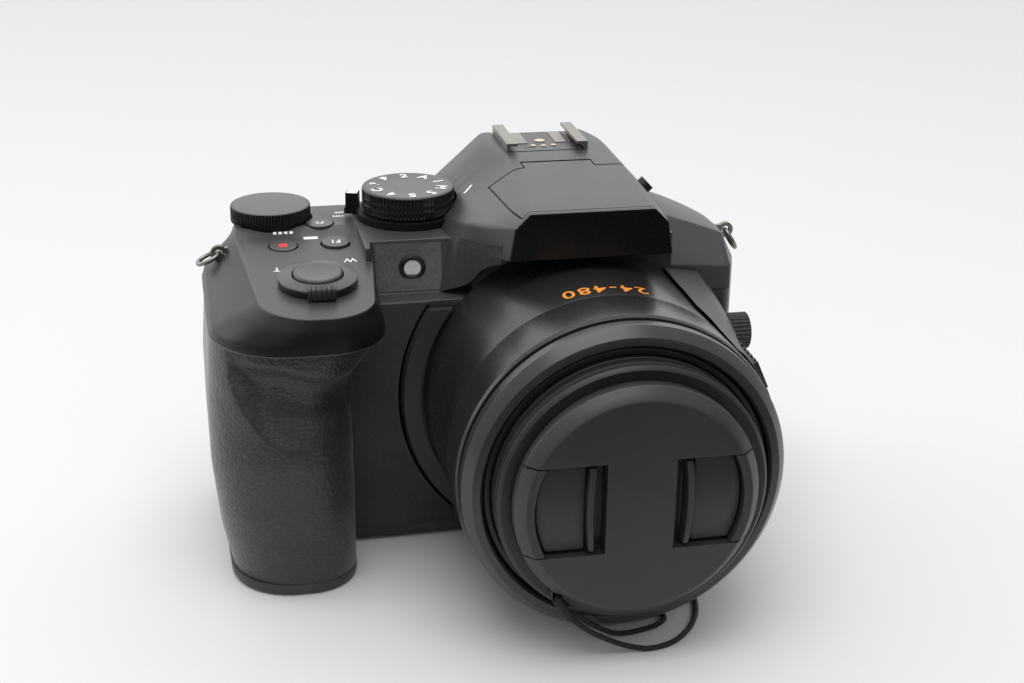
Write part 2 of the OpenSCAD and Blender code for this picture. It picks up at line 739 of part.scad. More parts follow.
// Cheek from the lamp panel to the hump's nose; each section: [outer foot, inner foot, inner top, outer top]
cheek_t = 1.6;
cheek_rear = lamp_panel + panel_lean + 2 * seat_gap;
cheek = [
    [[-hump_foot - 7, -cheek_rear, seam_z + ledge_t + 0.1], [-hump_foot + 0.5, -cheek_rear,
        seam_z + ledge_t + 0.1],
        [-hump_foot + 0.5, -lamp_panel - 0.3, deck_z + 0.4], [-hump_foot - 3.8, -lamp_panel - 0.3,
            deck_z + 0.4]],
    cheek_ring(front_depth, hump_foot + 1.2, lens_z + barrel_r - 8.4, hump_foot + 0.9, hump_under + 1.2),
    cheek_ring(front_depth + 4.5, hump_foot - 0.6, hump_under - 5.3, hump_foot - 0.7, hump_under + 2),
    cheek_ring(front_depth + 8.5, hump_foot - 1.9, hump_under - 2.7, hump_foot - 1.85, hump_under + 3),
    cheek_ring(hump_front - 3.2, hump_foot - 4, hump_under - 0.4, hump_foot - 3.9, hump_under + 4)];
function cheek_ring(forward, foot, low, top, high) = [[-foot, -forward, low], [-foot + cheek_t, -forward,
    low + 0.5],
    [-top + cheek_t, -forward, high], [-top, -forward, high]];

module hump_form() {
    left = blended(hump_left, 4);
    right = blended(hump_right, 4);
    loft([for (i = [0:len(left) - 1]) hump_section(left[i], right[i])]);
    block([-hump_foot, -lamp_panel, seam_z], [hump_foot, hump_rear, deck_z + 1]);
    block([-hump_foot, -front_depth, seam_z], [hump_foot, -lamp_panel + 1, deck_z + 1.2]);
    loft(blended(cheek, 3));
}

// Room that the flash head takes out of the hump, g wider all round
module flash_room(g) {
    outline = [[-flash_front - g, flash_cut_front - g], [hinge_y - 3, flash_cut_rear - g],
        [hinge_y, hinge_z - hinge_r - g], [hinge_y, hump_z + 5], [-flash_front - g, hump_z + 5]];
    wings = hinge_y - wing_back + (g == 0 ? 0 : wing_gap);
    difference() {
        union() {
            deck_cut(outline, -hump_slope - 5, hump_slope + 5);
            translate([-ear_x - g, hinge_y, hinge_z]) rotate([0, 90, 0])
                cylinder(r = hinge_r + g, h = 2 * (ear_x + g));
        }
        for (side = [-1, 1]) translate([side * (ear_x + g + 25), 0, hump_z])
            cube([50, 2 * abs(wings) + 20, 40], center = true);
    }
    intersection() {
        deck_cut(outline, -hump_slope - 5, hump_slope + 5);
        block([-hump_slope - 5, -flash_front - g, seam_z], [hump_slope + 5, wings, hump_z + 10]);
    }
}

// Box of the flash tube under the head, g wider all round
module bulb_room(g) {
    block([-13 - g, -flash_front + 1.6 - g, hump_under + 4.4 - g], [13 + g, -flash_front + 10 + g,
        flash_cut_front + 0.5]);
}

module flash_head() {
    color(black) union() {
        intersection() {
            hump_form();
            flash_room(0);
        }
        bulb_room(0);
        translate([-ear_x - 2, hinge_y, hinge_z]) rotate([0, 90, 0])
            cylinder(r = flash_pin_r, h = 2 * (ear_x + 2));
    }
}

module flash_window() {
    color("#dfe3e2") block([-12.4, -flash_front + 1.2, hump_under + 4.8], [12.4, -flash_front + 1.6,
        flash_cut_front - 1]);
}

module viewfinder_housing() {
    wall_z = deck_z + 0.5;
    rear_in = hump_rear - wall_t;
    color(black) difference() {
        hump_form();
        flash_room(move_gap);
        bulb_room(1.2);
        translate([-ear_x - 2.4, hinge_y, hinge_z]) rotate([0, 90, 0])
            cylinder(r = flash_pin_r + 2 * run_gap, h = 2 * (ear_x + 2.4));
        translate([0, rear_in, 0]) rotate([90, 0, 0]) linear_extrude(rear_in - hinge_y - 7) polygon([
            [-hump_foot + wall_t, seam_z - 1], [hump_foot - wall_t, seam_z - 1], [hump_foot - wall_t,
                wall_z],
            [hump_top_w - wall_t, hump_z - 3], [-hump_top_w + wall_t, hump_z - 3], [-hump_foot + wall_t,
                wall_z]]);
        block([-hump_foot + wall_t, -front_depth + wall_t, seam_z - 1], [hump_foot - wall_t, hinge_y + 8,
            deck_z - 2]);
        on_axis(front_depth - 2 * wall_t) cylinder(r = lens_hole_r, h = 3 * wall_t);
        translate([mode_at[0], mode_at[1], deck_z - 1]) cylinder(r = lever_r + move_gap,
            h = lever_t + 2 * move_gap + 1);
        translate([mode_at[0], mode_at[1], deck_z - 1]) cylinder(r = mode_r + 2 * move_gap, h = 20);
        block([-shoe_w / 2 - seat_gap, shoe_front, shoe_floor], [shoe_w / 2 + seat_gap, hump_rear + 1,
            hump_z + 1]);
        eyepiece_hole();
        flash_button_hole();
        on_rear(dioptre_at[0], dioptre_at[1], hump_rear - 4) cylinder(r = 1.5 + run_gap, h = 8);
    }
}

// Gloss panel on the hump's front
module hump_panel() {
    color("#0b0b0c") translate([0, -hump_front, 0]) rotate([90, 0, 0]) linear_extrude(badge_t) polygon([
        [-panel_low_w, panel_low], [panel_low_w, panel_low], [panel_edge_w, panel_edge],
        [panel_top_w, panel_top], [-panel_top_w, panel_top], [-panel_edge_w, panel_edge]]);
}

// Cover on the far side of the hump. Its sections from the hump outwards: share of the width, setbacks from
// the front and height of the lower and upper front edge, depth and height of three points across the top,
// setbacks from the rear and height of the upper and lower rear edge
shoulder_rows = [
    [0, 0, 7, 8.3, 17, -4, 18.2, 3, 18.6, 12, 17, 2.5, 14, 0.8, 4],
    [0.27, 0, 6.6, 7.3, 15.3, -5, 16.2, 2, 16.4, 11, 15.1, 2.5, 11, 0.8, 3.5],
    [0.55, 0, 6.1, 6.2, 13.3, -6, 13.8, 1, 13.7, 10, 12.4, 2.7, 8.3, 0.9, 2.9],
    [0.64, 0, 6, 5.8, 12.6, -6, 12.8, 1, 12.5, 10, 11.2, 2.8, 7.3, 1, 2.6],
    [0.73, 0.2, 5.7, 7.7, 10.7, -3, 11, 2, 10.8, 10, 9.5, 2.5, 6.1, 1, 2.4],
    [0.82, 0.3, 5.1, 7.8, 8.6, 0, 8.7, 3, 8.6, 10, 7.5, 2.5, 4.9, 0.8, 2.1],
    [0.91, 0.4, 3.7, 7.9, 5.8, 4, 5.9, 6, 5.9, 10, 5.4, 2.8, 3.4, 1, 1.5],
    [0.96, 0.5, 2.3, 7.6, 3.7, 6.5, 3.7, 8, 3.6, 11, 3.3, 3, 2.1, 1, 1.1],
    [1, 0.6, 0.9, 7.6, 1.4, 8.4, 1.5, 9.4, 1.5, 11.8, 1.4, 3.4, 1, 1.4, 0.6]];

function shoulder_ring(r) = let (
    x = hump_foot + (body_right - hump_foot) * r[0],
    front = -front_depth + side_cut[1] * max(0, (x - body_right) / side_cut[0] + 1),
    rear = rear_depth - 1 - 3 * max(0, (x - body_right) / 6 + 1)) [
        [x, rear, seam_z], [x, rear - r[13], seam_z + r[14]], [x, rear - r[11], seam_z + r[12]],
        [x, r[9], seam_z + r[10]], [x, r[7], seam_z + r[8]], [x, r[5], seam_z + r[6]],
        [x, front + r[3], seam_z + r[4]], [x, front + r[1], seam_z + r[2]], [x, front, seam_z]];

module shoulder_cover() {
    color(black) difference() {
        loft([for (r = blended(shoulder_rows, 2)) shoulder_ring(r)]);
        block([hump_foot + wall_t, -front_depth + 3, seam_z - 1],
            [body_right - 9, rear_depth - 6, seam_z + 3]);
        lug_seat(1);
    }
}

// Lens
module lens_collar() {
    color(black) intersection() {
        turned([[barrel_r + 0.6, front_depth], [collar_r, front_depth], [collar_r - 0.8,
            front_depth + collar_t],
            [barrel_r + 0.6, front_depth + collar_t]]);
        block([-50, -50, base_t + 0.5], [0, 0, seam_z - 0.2]);
    }
}

module lens_barrel() {
    line = front_depth + 34;
    color(black) turned([[guide_r, front_depth], [barrel_r - 0.3, front_depth], [barrel_r - 0.2, line],
        [barrel_r - 0.6, line + 0.1], [barrel_r - 0.6, line + 0.5], [barrel_r, line + 0.6],
        [barrel_r + 0.3, barrel_front - 0.8], [barrel_r, barrel_front], [guide_r, barrel_front]]);
}

module lens_front_ring() {
    color(black) turned([[guide_r, barrel_front], [barrel_r - 1.2, barrel_front], [barrel_r - 1.2,
        barrel_front + 0.9],
        [barrel_r - 0.3, barrel_front + 1.2], [barrel_r - 0.3, ring_front - 2.8], [ring_edge_r + 0.5,
            ring_front - 0.8],
        [ring_edge_r, ring_front], [guide_r + 0.6, ring_front], [guide_r, ring_front - 0.6]]);
}

module zoom_tube() {
    color(soft_black) turned([[zoom_bore, front_depth + 5], [zoom_r, front_depth + 5], [zoom_r,
        ring_front - 1.6],
        [zoom_r - 0.4, ring_front - 1.2], [zoom_bore, ring_front - 1.2]]);
}

module inner_tube() {
    color(soft_black) turned([[group_r, tube_back], [inner_r, tube_back], [inner_r, tube_front - 0.8],
        [inner_r - 0.8, tube_front], [filter_r + 0.2, tube_front], [filter_r, tube_front - 0.3],
        [filter_r, seat_front], [lens_r + seat_gap, seat_front], [lens_r + seat_gap, seat_back],
        [lens_r - 1.4, seat_back], [lens_r - 1.4, seat_back - 1.5], [group_r, seat_back - 3]]);
}

module front_retainer() {
    color(soft_black) turned([[lens_r - 1.8, seat_front], [filter_r - seat_gap, seat_front],
        [filter_r - seat_gap, seat_front + 2], [lens_r + 1, seat_front + 1.2], [lens_r - 1.8,
            seat_front + 0.6]]);
}

// Front lens: flat back, dome of the given rise in front
module front_element() {
    rise = 2.6;
    rim = 3;
    dome = (lens_r * lens_r + rise * rise) / (2 * rise);
    color([0.5, 0.6, 0.7, 0.5]) on_axis(seat_back) intersection() {
        cylinder(r = lens_r, h = rim + rise + 1);
        translate([0, 0, rim + rise - dome]) sphere(r = dome, $fn = 128);
    }
}

iris_at = 46;
carrier_at = 38;

module iris_unit() {
    color("#2a2a2c") turned([[8, iris_at], [group_r - seat_gap, iris_at], [group_r - seat_gap,
        iris_at + 3], [8, iris_at + 3]]);
}

module lens_carrier() {
    color("#2a2a2c") turned([[12, carrier_at], [group_r - seat_gap, carrier_at], [group_r - seat_gap,
        carrier_at + 4],
        [12, carrier_at + 4]]);
}

module rear_element() {
    color([0.5, 0.6, 0.7, 0.5]) on_axis(carrier_at + 0.6) cylinder(r = 12 - seat_gap, h = 2.8);
}

// Lens cap: disc, plug and the windows of its two clips
module clip_window(side, g) {
    mirror([side < 0 ? 1 : 0, 0, 0]) translate([clip_inner, -cap_front - 1, lens_z - clip_h - g])
        cube([cap_r, cap_front - clip_floor + 1 + g, 2 * (clip_h + g)]);
}

module cap_disc() {
    turned([[0, cap_back], [cap_r - 0.1, cap_back], [cap_r, cap_back + 0.1], [cap_r, cap_rim],
        [cap_face_r, cap_front - 0.3], [cap_face_r - 0.5, cap_front], [0, cap_front]]);
}

eyelet_angle = 232;
eyelet_r = 0.9;

module cap_body() {
    plug = 3.2;
    color(soft_black) difference() {
        union() {
            cap_disc();
            turned([[filter_r - 2.4, cap_back - plug], [filter_r - 0.6, cap_back - plug],
                [filter_r - 0.6, cap_back + 0.1], [filter_r - 2.4, cap_back + 0.1]]);
            on_axis(cap_back + 0.6) rotate([0, 0, eyelet_angle]) translate([cap_r - 0.4, 0,
                0]) cylinder(r = 1.9, h = 1.5);
        }
        clip_window(-1, 0);
        clip_window(1, 0);
        on_axis(cap_back - 1) rotate([0, 0, eyelet_angle]) translate([cap_r + 0.4, 0,
            0]) cylinder(r = eyelet_r, h = 6);
    }
}

// Clip: rim piece, sunk pad and raised finger ridge
module cap_clip(side) {
    pad_in = clip_inner + clip_travel + 0.3;
    ridge_w = 2;
    color(soft_black) mirror([side < 0 ? 1 : 0, 0, 0]) difference() {
        intersection() {
            cap_disc();
            translate([pad_in, -cap_front - 1, lens_z - clip_h + move_gap])
                cube([cap_r, cap_front - clip_floor + 1 - move_gap, 2 * (clip_h - move_gap)]);
        }
        translate([pad_in + ridge_w, -cap_front - 1, lens_z - clip_h - 1])
            cube([cap_face_r - pad_in - ridge_w - 2.6, 2.6, 2 * clip_h + 2]);
    }
}

module cap_clip_left() { cap_clip(-1); }
module cap_clip_right() { cap_clip(1); }

// Cap cord: closed loop from the hitch, over the table under the barrel and back.
// Points [x, y, z] of its centre line.
cord_rest = cord_d / 2;
cord_route = [[-13.6, -79.6, 11.2], [-10.5, -79.4, 8.2], [-7, -79, 5.6], [-3, -78.6, 3.2], [1, -78.2, 1.4],
    [5.2, -78.2, cord_rest], [10.6, -76.6, cord_rest], [15.8, -71.8, cord_rest], [19.4, -65.4, cord_rest],
    [20.9, -58, cord_rest], [19, -51, cord_rest], [13.5, -47, cord_rest], [7, -48.5, cord_rest],
    [4.4, -54, cord_rest], [6.6, -59.6, cord_rest], [10.6, -63, cord_rest], [11.6, -66.6, cord_rest],
    [8.6, -69.4, cord_rest], [3.8, -70.9, cord_rest], [-1, -72.6, 1.6], [-5, -74.8, 4.4], [-8.8, -76.8,
        7.8],
    [-12.4, -78.2, 11.4]];
cord_sides = 8;
cord_fill = 3;

// Point of the smooth curve through the route at step i, part t of the way on
function route_at(i, t) =
    let (n = len(cord_route) - 1)
    let (a = cord_route[max(i - 1, 0)], b = cord_route[i], c = cord_route[min(i + 1, n)],
        d = cord_route[min(i + 2, n)])
    0.5 * (2 * b + (c - a) * t + (2 * a - 5 * b + 4 * c - d) * t * t + (3 * b - a - 3 * c + d) * t * t * t);

cord_line = concat([for (i = [0:len(cord_route) - 2]) for (k = [0:cord_fill - 1]) route_at(i,
    k / cord_fill)],
    [cord_route[len(cord_route) - 1]]);

// Ring of the cord's tube at point i of its line, square to the line and level with the table
function cord_ring(i) =
    let (n = len(cord_line) - 1, along = unit(cord_line[min(i + 1, n)] - cord_line[max(i - 1, 0)]))
    let (side = unit(cross([0, 0, 1], along)), up = cross(along, side))
    [for (k = [0:cord_sides - 1]) let (a = 360 * (k + 0.5) / cord_sides)
        cord_line[i] + cord_d / 2 * (side * cos(a) + up * sin(a))];

module cap_cord() {
    color("#0e0e0f") loft([for (i = [0:len(cord_line) - 1]) cord_ring(i)]);
}

// Bar from a to b of radius r
module bar(a, b, r) {
    along = b - a;
    translate(a) rotate([0, acos(along[2] / norm(along)), atan2(along[1], along[0])]) cylinder(r = r,
        h = norm(along));
}

module cap_cord_hitch() {
    top = [-16.9, -79.6, 16.2];
    low = [-13.4, -79.2, 10.9];
    eye = [cos(eyelet_angle) * (cap_r + 0.4), -cap_back - 1.3, lens_z + sin(eyelet_angle) * (cap_r + 0.4)];
    color("#0e0e0f") {
        bar(top, low, cord_d * 0.85);
        bar(eye + [0, 0.3, 0], top + [0.3, 0, -0.4], cord_d / 2);
        bar(eye + [0, -1.2, 0], top + [0.3, 0, -0.4], cord_d / 2);
    }
}

// Point at radius r from the lens axis, a degrees from the top towards the right
function polar(r, a) = [r * sin(a), lens_z + r * cos(a)];

// Section of the side pod with its outer face at radius r
function pod_section(r) = [polar(r - 7, 132), for (a = [120:-6:48]) polar(r, a),
    polar(barrel_r - 0.5, 34), polar(barrel_r - 12, 60), polar(barrel_r - 12, 110)];

side_dial_at = [-front_depth - side_dial_r - 0.4, lens_z + 13.5];
side_dial_x = barrel_r + 1.2;
side_dial_len = 5;
pin_r = 1.5;
pin_len = 2.2;

// Depths of the side pod's sections, and how far each stands outside the barrel
pod_levels = [[-front_depth, 5.4], [-front_depth - 14, 4], [-barrel_front + 18.4, 1.6],
    [-barrel_front + 3, 0.9]];

// Control pod on the side of the barrel
module side_pod() {
    color(black) difference() {
        loft([for (l = pod_levels) at_y(pod_section(barrel_r + l[1]), l[0])]);
        on_axis(0) cylinder(r = barrel_r + 0.5, h = 100, $fn = 200);
        on_side(side_dial_at[0], side_dial_at[1],
            side_dial_x - move_gap) cylinder(r = side_dial_r + move_gap, h = 20);
        on_side(side_dial_at[0], side_dial_at[1],
            side_dial_x - pin_len - 0.2) cylinder(r = pin_r + run_gap, h = 10);
        on_pod(lever_from - lever_travel - move_gap) translate([barrel_r - 16, -lever_w / 2 - move_gap, 0])
            cube([30, lever_w + 2 * move_gap, lever_len + 2 * (lever_travel + move_gap)]);
    }
}

module side_dial() {
    color(soft_black) on_side(side_dial_at[0], side_dial_at[1], side_dial_x) union() {
        difference() {
            cylinder(r = side_dial_r, h = side_dial_len);
            flutes(side_dial_r, side_dial_len, 30, 0.3);
        }
        translate([0, 0, -pin_len]) cylinder(r = pin_r, h = pin_len + 1);
    }
}

// Ribbed zoom lever on the pod
lever_from = barrel_front - 23.4;
lever_len = 12;
lever_w = 7;
lever_travel = 2;
pod_angle = 24;

// Children placed on the pod: local x points away from the lens axis, local z forward
module on_pod(forward) {
    on_axis(forward) rotate([0, 0, pod_angle]) children();
}

module side_lever() {
    ribs = 5;
    low = barrel_r + 0.7;
    high = barrel_r + 2.6;
    color(soft_black) on_pod(lever_from) difference() {
        translate([low, -lever_w / 2, 0]) cube([high - low, lever_w, lever_len]);
        for (i = [1:ribs]) translate([high - 0.6, -lever_w, lever_len * (i - 0.3) / (ribs + 0.4)])
            cube([2, 2 * lever_w, lever_len / (2 * ribs)]);
    }
}

// Accessory shoe
module hot_shoe() {
    color(steel) translate([0, shoe_front + shoe_len, 0]) rotate([90, 0, 0]) linear_extrude(shoe_len) {
        translate([-shoe_w / 2, shoe_floor]) square([shoe_w, shoe_plate]);
        for (side = [-1, 1]) mirror([side < 0 ? 1 : 0, 0]) {
            translate([shoe_w / 2 - lip_t, shoe_floor]) square([lip_t, shoe_top - shoe_floor]);
            translate([shoe_w / 2 - lip_w, shoe_top - lip_t]) square([lip_w, lip_t]);
        }
    }
}

insert_t = 0.5;

module shoe_insert() {
    half = shoe_w / 2 - lip_t - 0.4;
    color("#202022") block([-half, shoe_front + 0.4, shoe_floor + shoe_plate],
        [half, shoe_front + shoe_len - 1, shoe_floor + shoe_plate + insert_t]);
}

module shoe_contacts() {
    z = shoe_floor + shoe_plate + insert_t;
    color("#d8c38a") {
        translate([0, shoe_front + 9, z]) cylinder(r = 1.3, h = 0.2);
        for (p = [[-2.6, 4.6], [0, 4.2], [2.6, 4.6]]) translate([p[0], shoe_front + p[1],
            z]) cylinder(r = 0.7, h = 0.2);
    }
}

// Flash button on the hump's right slope
flash_button_r = 2;
flash_button_at = [hump_foot - 2.1, 0.5, shoulder_z + 2.3];
slope_angle = atan2(hump_foot - hump_top_w, hump_z - shoulder_z);

module on_slope() {
    translate(flash_button_at) rotate([0, 90 - slope_angle, 0]) children();
}

module flash_button_hole() {
    on_slope() translate([0, 0, -1.4]) cylinder(r = flash_button_r + move_gap, h = 6);
}

module flash_button() {
    color(soft_black) on_slope() translate([0, 0, button_travel - 1.2]) cylinder(r = flash_button_r, h = 2);
}

// Strap lugs: eyelets let into the covers at both sides, side -1 is the grip's
lug_y = 6;
lug_t = 1.2;
lug_r = 2;
lug_hole = 1;
lug_root = 5;
ring_r = 2.4;
ring_wire = 0.6;
ring_tilt_left = 25;
ring_tilt_right = 60;

// Children placed at a lug's eye
module at_lug(side) {
    translate(side < 0 ? [-body_left + 5, lug_y, seam_z + 7.6] : [body_right - 0.4, lug_y,
        seam_z + 6.9]) children();
}

module lug_form(side, g) {
    at_lug(side) rotate([90, 0, 0]) translate([0, 0, -lug_t / 2 - g]) {
        cylinder(r = lug_r + g, h = lug_t + 2 * g);
        translate([side < 0 ? 0 : -lug_root - g, -1.4 - g, 0]) cube([lug_root + g, 2.8 + 2 * g,
            lug_t + 2 * g]);
    }
}

// Seat of a lug in its cover, with room for the ring beside it
module lug_seat(side) {
    lug_form(side, seat_gap);
    at_lug(side) rotate([90, 0, 0]) cylinder(r = lug_r + 0.4, h = 2 * ring_r + 4 * ring_wire,
        center = true);
}

module strap_lugs() {
    color(steel) for (side = [-1, 1]) difference() {
        lug_form(side, 0);
        at_lug(side) rotate([90, 0, 0]) cylinder(r = lug_hole, h = 4 * lug_t, center = true);
    }
}

// Wire ring through a lug's eye
module strap_ring(side) {
    color(steel) at_lug(side) rotate([0, side < 0 ? -ring_tilt_left : ring_tilt_right,
        0]) translate([side * ring_r, 0, 0])
        rotate_extrude() translate([ring_r, 0]) circle(r = ring_wire, $fn = 32);
}

module strap_ring_left() { strap_ring(-1); }
module strap_ring_right() { strap_ring(1); }

// Monitor on a hinge at its right edge
module monitor_frame() {
    color(black) {
        difference() {
            block([monitor_x - monitor_w - 4, monitor_y, monitor_z],
                [monitor_x - 4, monitor_y + monitor_t, monitor_z + monitor_h]);
            block([monitor_x - monitor_w - 1, monitor_y + monitor_t - 1, monitor_z + 3],
                [monitor_x - 7, monitor_y + monitor_t + 1, monitor_z + monitor_h - 3]);
        }
        block([monitor_x - 4.5, monitor_axis_y - 2, monitor_z + hinge_inset],
            [monitor_x, monitor_axis_y + 2, monitor_z + monitor_h - hinge_inset]);
        translate([monitor_x, monitor_axis_y, monitor_z + hinge_inset])
            cylinder(r = monitor_t / 2, h = monitor_h - 2 * hinge_inset);
        monitor_pin(hinge_pin_r);
    }
}

module monitor_glass() {
    color("#10131a") block([monitor_x - monitor_w - 1 + seat_gap, monitor_y + monitor_t - 1,
        monitor_z + 3 + seat_gap],
        [monitor_x - 7 - seat_gap, monitor_y + monitor_t, monitor_z + monitor_h - 3 - seat_gap]);
}

// Ears of the rear cover that hold the monitor's pin
module monitor_ears() {
    ear_w = 5;
    ear_h = 3.6;
    for (z = [monitor_z + hinge_inset - move_gap - ear_h, monitor_z + monitor_h - hinge_inset + move_gap])
        translate([0, 0, z]) {
            block([monitor_x - ear_w / 2, rear_depth - 1, 0], [monitor_x + ear_w / 2, monitor_axis_y,
                ear_h]);
            translate([monitor_x, monitor_axis_y, 0]) cylinder(r = ear_w / 2, h = ear_h);
        }
}

module monitor_pin(r) {
    translate([monitor_x, monitor_axis_y, monitor_z + hinge_inset - 3]) cylinder(r = r,
        h = monitor_h - 2 * hinge_inset + 6);
}

// Eyepiece
eye_z = deck_z - 1.5;
eye_w = 9;
eye_h = 6.5;

module eyepiece_hole() {
    block([-eye_w, hump_rear - 5, eye_z - eye_h], [eye_w, hump_rear + 5, eye_z + eye_h]);
}

module eyepiece_lens() {
    color([0.5, 0.6, 0.7, 0.5]) block([-eye_w + seat_gap, hump_rear - 1.8, eye_z - eye_h + seat_gap],
        [eye_w - seat_gap, hump_rear - 0.4, eye_z + eye_h - seat_gap]);
}

module eyecup() {
    cup_w = eye_w + 5;
    cup_h = eye_h + 4.5;
    color(soft_black) difference() {
        on_rear(0, eye_z, hump_rear) linear_extrude(eyecup_d) polygon(rounded([[cup_w, -cup_h, 4],
            [cup_w, cup_h, 4],
            [-cup_w, cup_h, 4], [-cup_w, -cup_h, 4]]));
        on_rear(0, eye_z, hump_rear - 1) linear_extrude(eyecup_d + 2) polygon(rounded([[eye_w + 2,
            -eye_h - 1.5, 3],
            [eye_w + 2, eye_h + 1.5, 3], [-eye_w - 2, eye_h + 1.5, 3], [-eye_w - 2, -eye_h - 1.5, 3]]));
    }
}

dioptre_at = [hump_foot - 4.4, deck_z - 3];

module diopter_dial() {
    color(soft_black) on_rear(dioptre_at[0], dioptre_at[1], hump_rear + move_gap) union() {
        difference() {
            cylinder(r = 3.6, h = 2.4);
            flutes(3.6, 2.4, 24, 0.3);
        }
        translate([0, 0, -3.8]) cylinder(r = 1.5, h = 4.2);
    }
}

// Door over the sockets on the body's right side
terminal_y = [split_y + 1, rear_depth - 9.5];
terminal_z = [12, 34];
terminal_t = wall_t - 1;

module terminal_recess() {
    block([body_right - terminal_t - 0.4, terminal_y[0] - move_gap, terminal_z[0] - move_gap],
        [body_right + 1, terminal_y[1] + move_gap, terminal_z[1] + move_gap]);
}

module terminal_door() {
    knuckle_r = terminal_t / 2;
    color(soft_black) {
        block([body_right - terminal_t - 0.1, terminal_y[0], terminal_z[0]],
            [body_right - 0.1, terminal_y[1] - knuckle_r, terminal_z[1]]);
        translate([body_right - 0.1 - knuckle_r, terminal_y[1] - knuckle_r, terminal_z[0]])
            cylinder(r = knuckle_r, h = terminal_z[1] - terminal_z[0]);
    }
}

// Inner frame and electronics
chassis_t = 1.5;
chassis_y = -bush_r - 2.5 - chassis_t;

module chassis() {
    skin = [sleeve_t, sleeve_t, 0];
    g = [seat_gap, seat_gap, 1];
    color("#8d9094") difference() {
        union() {
            block([-core_left + wall_t + 2, chassis_y, base_t], [body_right - wall_t - 6,
                chassis_y + chassis_t, seam_z - 4]);
            block([-core_inner + 4, chassis_y, base_t], [-14, chassis_y + 10, base_t + 1.2]);
            translate([battery_at[0], battery_at[1], base_t + 1] - skin)
                cube(battery_size + 2 * skin - [0, 0, 4]);
            block([battery_at[0] + 6, battery_at[1] + 15, 12], [battery_at[0] + 10, chassis_y + 1, 40]);
        }
        translate(battery_at - g) cube(battery_size + 2 * g);
    }
}

// Thickness of the board and of its chips, and each chip's corner [x, z] and size
board_t = 1.6;
chip_t = 1.2;
chips = [[[-20, lens_z - 12.1], [16, 16]], [[8, lens_z - 8.1], [12, 10]]];

module main_board() {
    y = chassis_y + chassis_t;
    color("#1f5a3a") {
        block([-core_inner + 8, y, base_t + 12], [body_right - wall_t - 8, y + board_t, seam_z - 8]);
        for (c = chips) translate([c[0][0], y + board_t, c[0][1]]) cube([c[1][0], chip_t, c[1][1]]);
    }
}

front_cover();
rear_cover();
top_cover();
bottom_cover();
viewfinder_housing();
shoulder_cover();
hump_panel();
grip_rubber();
thumb_rest();
side_pod();
lens_collar();
lens_barrel();
lens_front_ring();
zoom_tube();
inner_tube();
front_retainer();
front_element();
iris_unit();
lens_carrier();
rear_element();
cap_body();
cap_clip_left();
cap_clip_right();
cap_cord();
cap_cord_hitch();
shutter_button();
zoom_lever();
movie_button();
fn1_button();
fn2_button();
mode_dial();
power_lever();
rear_dial();
af_lamp();
flash_head();
flash_window();
flash_button();
hot_shoe();
shoe_insert();
shoe_contacts();
strap_lugs();
strap_ring_left();
strap_ring_right();
monitor_frame();
monitor_glass();
eyecup();
eyepiece_lens();
diopter_dial();
cursor_pad();
set_button();
play_button();
lock_button();
side_dial();
side_lever();
terminal_door();
battery_door();
battery();
tripod_bush();
chassis();
main_board();
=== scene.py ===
import math
import bpy
import numpy as np
from mathutils import Matrix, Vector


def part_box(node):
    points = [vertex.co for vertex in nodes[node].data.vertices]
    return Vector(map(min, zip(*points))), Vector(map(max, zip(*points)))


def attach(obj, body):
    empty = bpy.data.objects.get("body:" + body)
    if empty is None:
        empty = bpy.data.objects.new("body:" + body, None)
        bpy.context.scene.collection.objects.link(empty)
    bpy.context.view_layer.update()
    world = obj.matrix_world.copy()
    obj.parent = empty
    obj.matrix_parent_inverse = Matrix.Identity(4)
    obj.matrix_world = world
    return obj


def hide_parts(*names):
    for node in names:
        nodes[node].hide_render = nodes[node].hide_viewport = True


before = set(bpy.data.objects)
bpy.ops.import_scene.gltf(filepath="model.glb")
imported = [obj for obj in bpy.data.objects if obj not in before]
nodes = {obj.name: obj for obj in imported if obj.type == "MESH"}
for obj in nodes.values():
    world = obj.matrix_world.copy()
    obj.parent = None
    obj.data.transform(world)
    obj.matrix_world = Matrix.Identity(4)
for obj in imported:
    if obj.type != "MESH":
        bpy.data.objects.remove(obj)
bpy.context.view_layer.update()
MM = 0.001

# Sizes of the camera, in millimetres, as in the part's source
LENS_Z = 38.1
SEAM_Z = 60.5
STEP_Z = 73.7
NOSE_Y, NOSE_Z = -42, 69.0
REAR_Y = 24
PANEL_RISE, PANEL_RUN = 3.3, 44
PANEL_TILT = math.atan(PANEL_RISE / PANEL_RUN)


def panel_height(y):
    """Height of the sloping top panel at depth y: a plane that rises to the back."""
    return NOSE_Z + (y - NOSE_Y) * math.tan(PANEL_TILT)


# Camera: the photograph's viewpoint, fitted to it, with its turns in degrees
HEADING, PITCH, ROLL = 11.8915, -22.1569, 0.8536
EYE = (-90.019, -377.612, 199.886)
FOCAL_PX = 1665.093
WIDE_PX = 1024
view = bpy.data.cameras.new("view")
view.sensor_width = 36
view.sensor_fit = "HORIZONTAL"
view.lens = FOCAL_PX * view.sensor_width / WIDE_PX
view.clip_start = 0.01
viewer = bpy.data.objects.new("view", view)
bpy.context.scene.collection.objects.link(viewer)
place = Matrix.Translation([c * MM for c in EYE])
for angle, axis in ((-HEADING, "Z"), (90 + PITCH, "X"), (ROLL, "Z")):
    place = place @ Matrix.Rotation(math.radians(angle), 4, axis)
viewer.matrix_world = place
bpy.context.scene.camera = viewer
bpy.context.scene.view_settings.view_transform = "Standard"


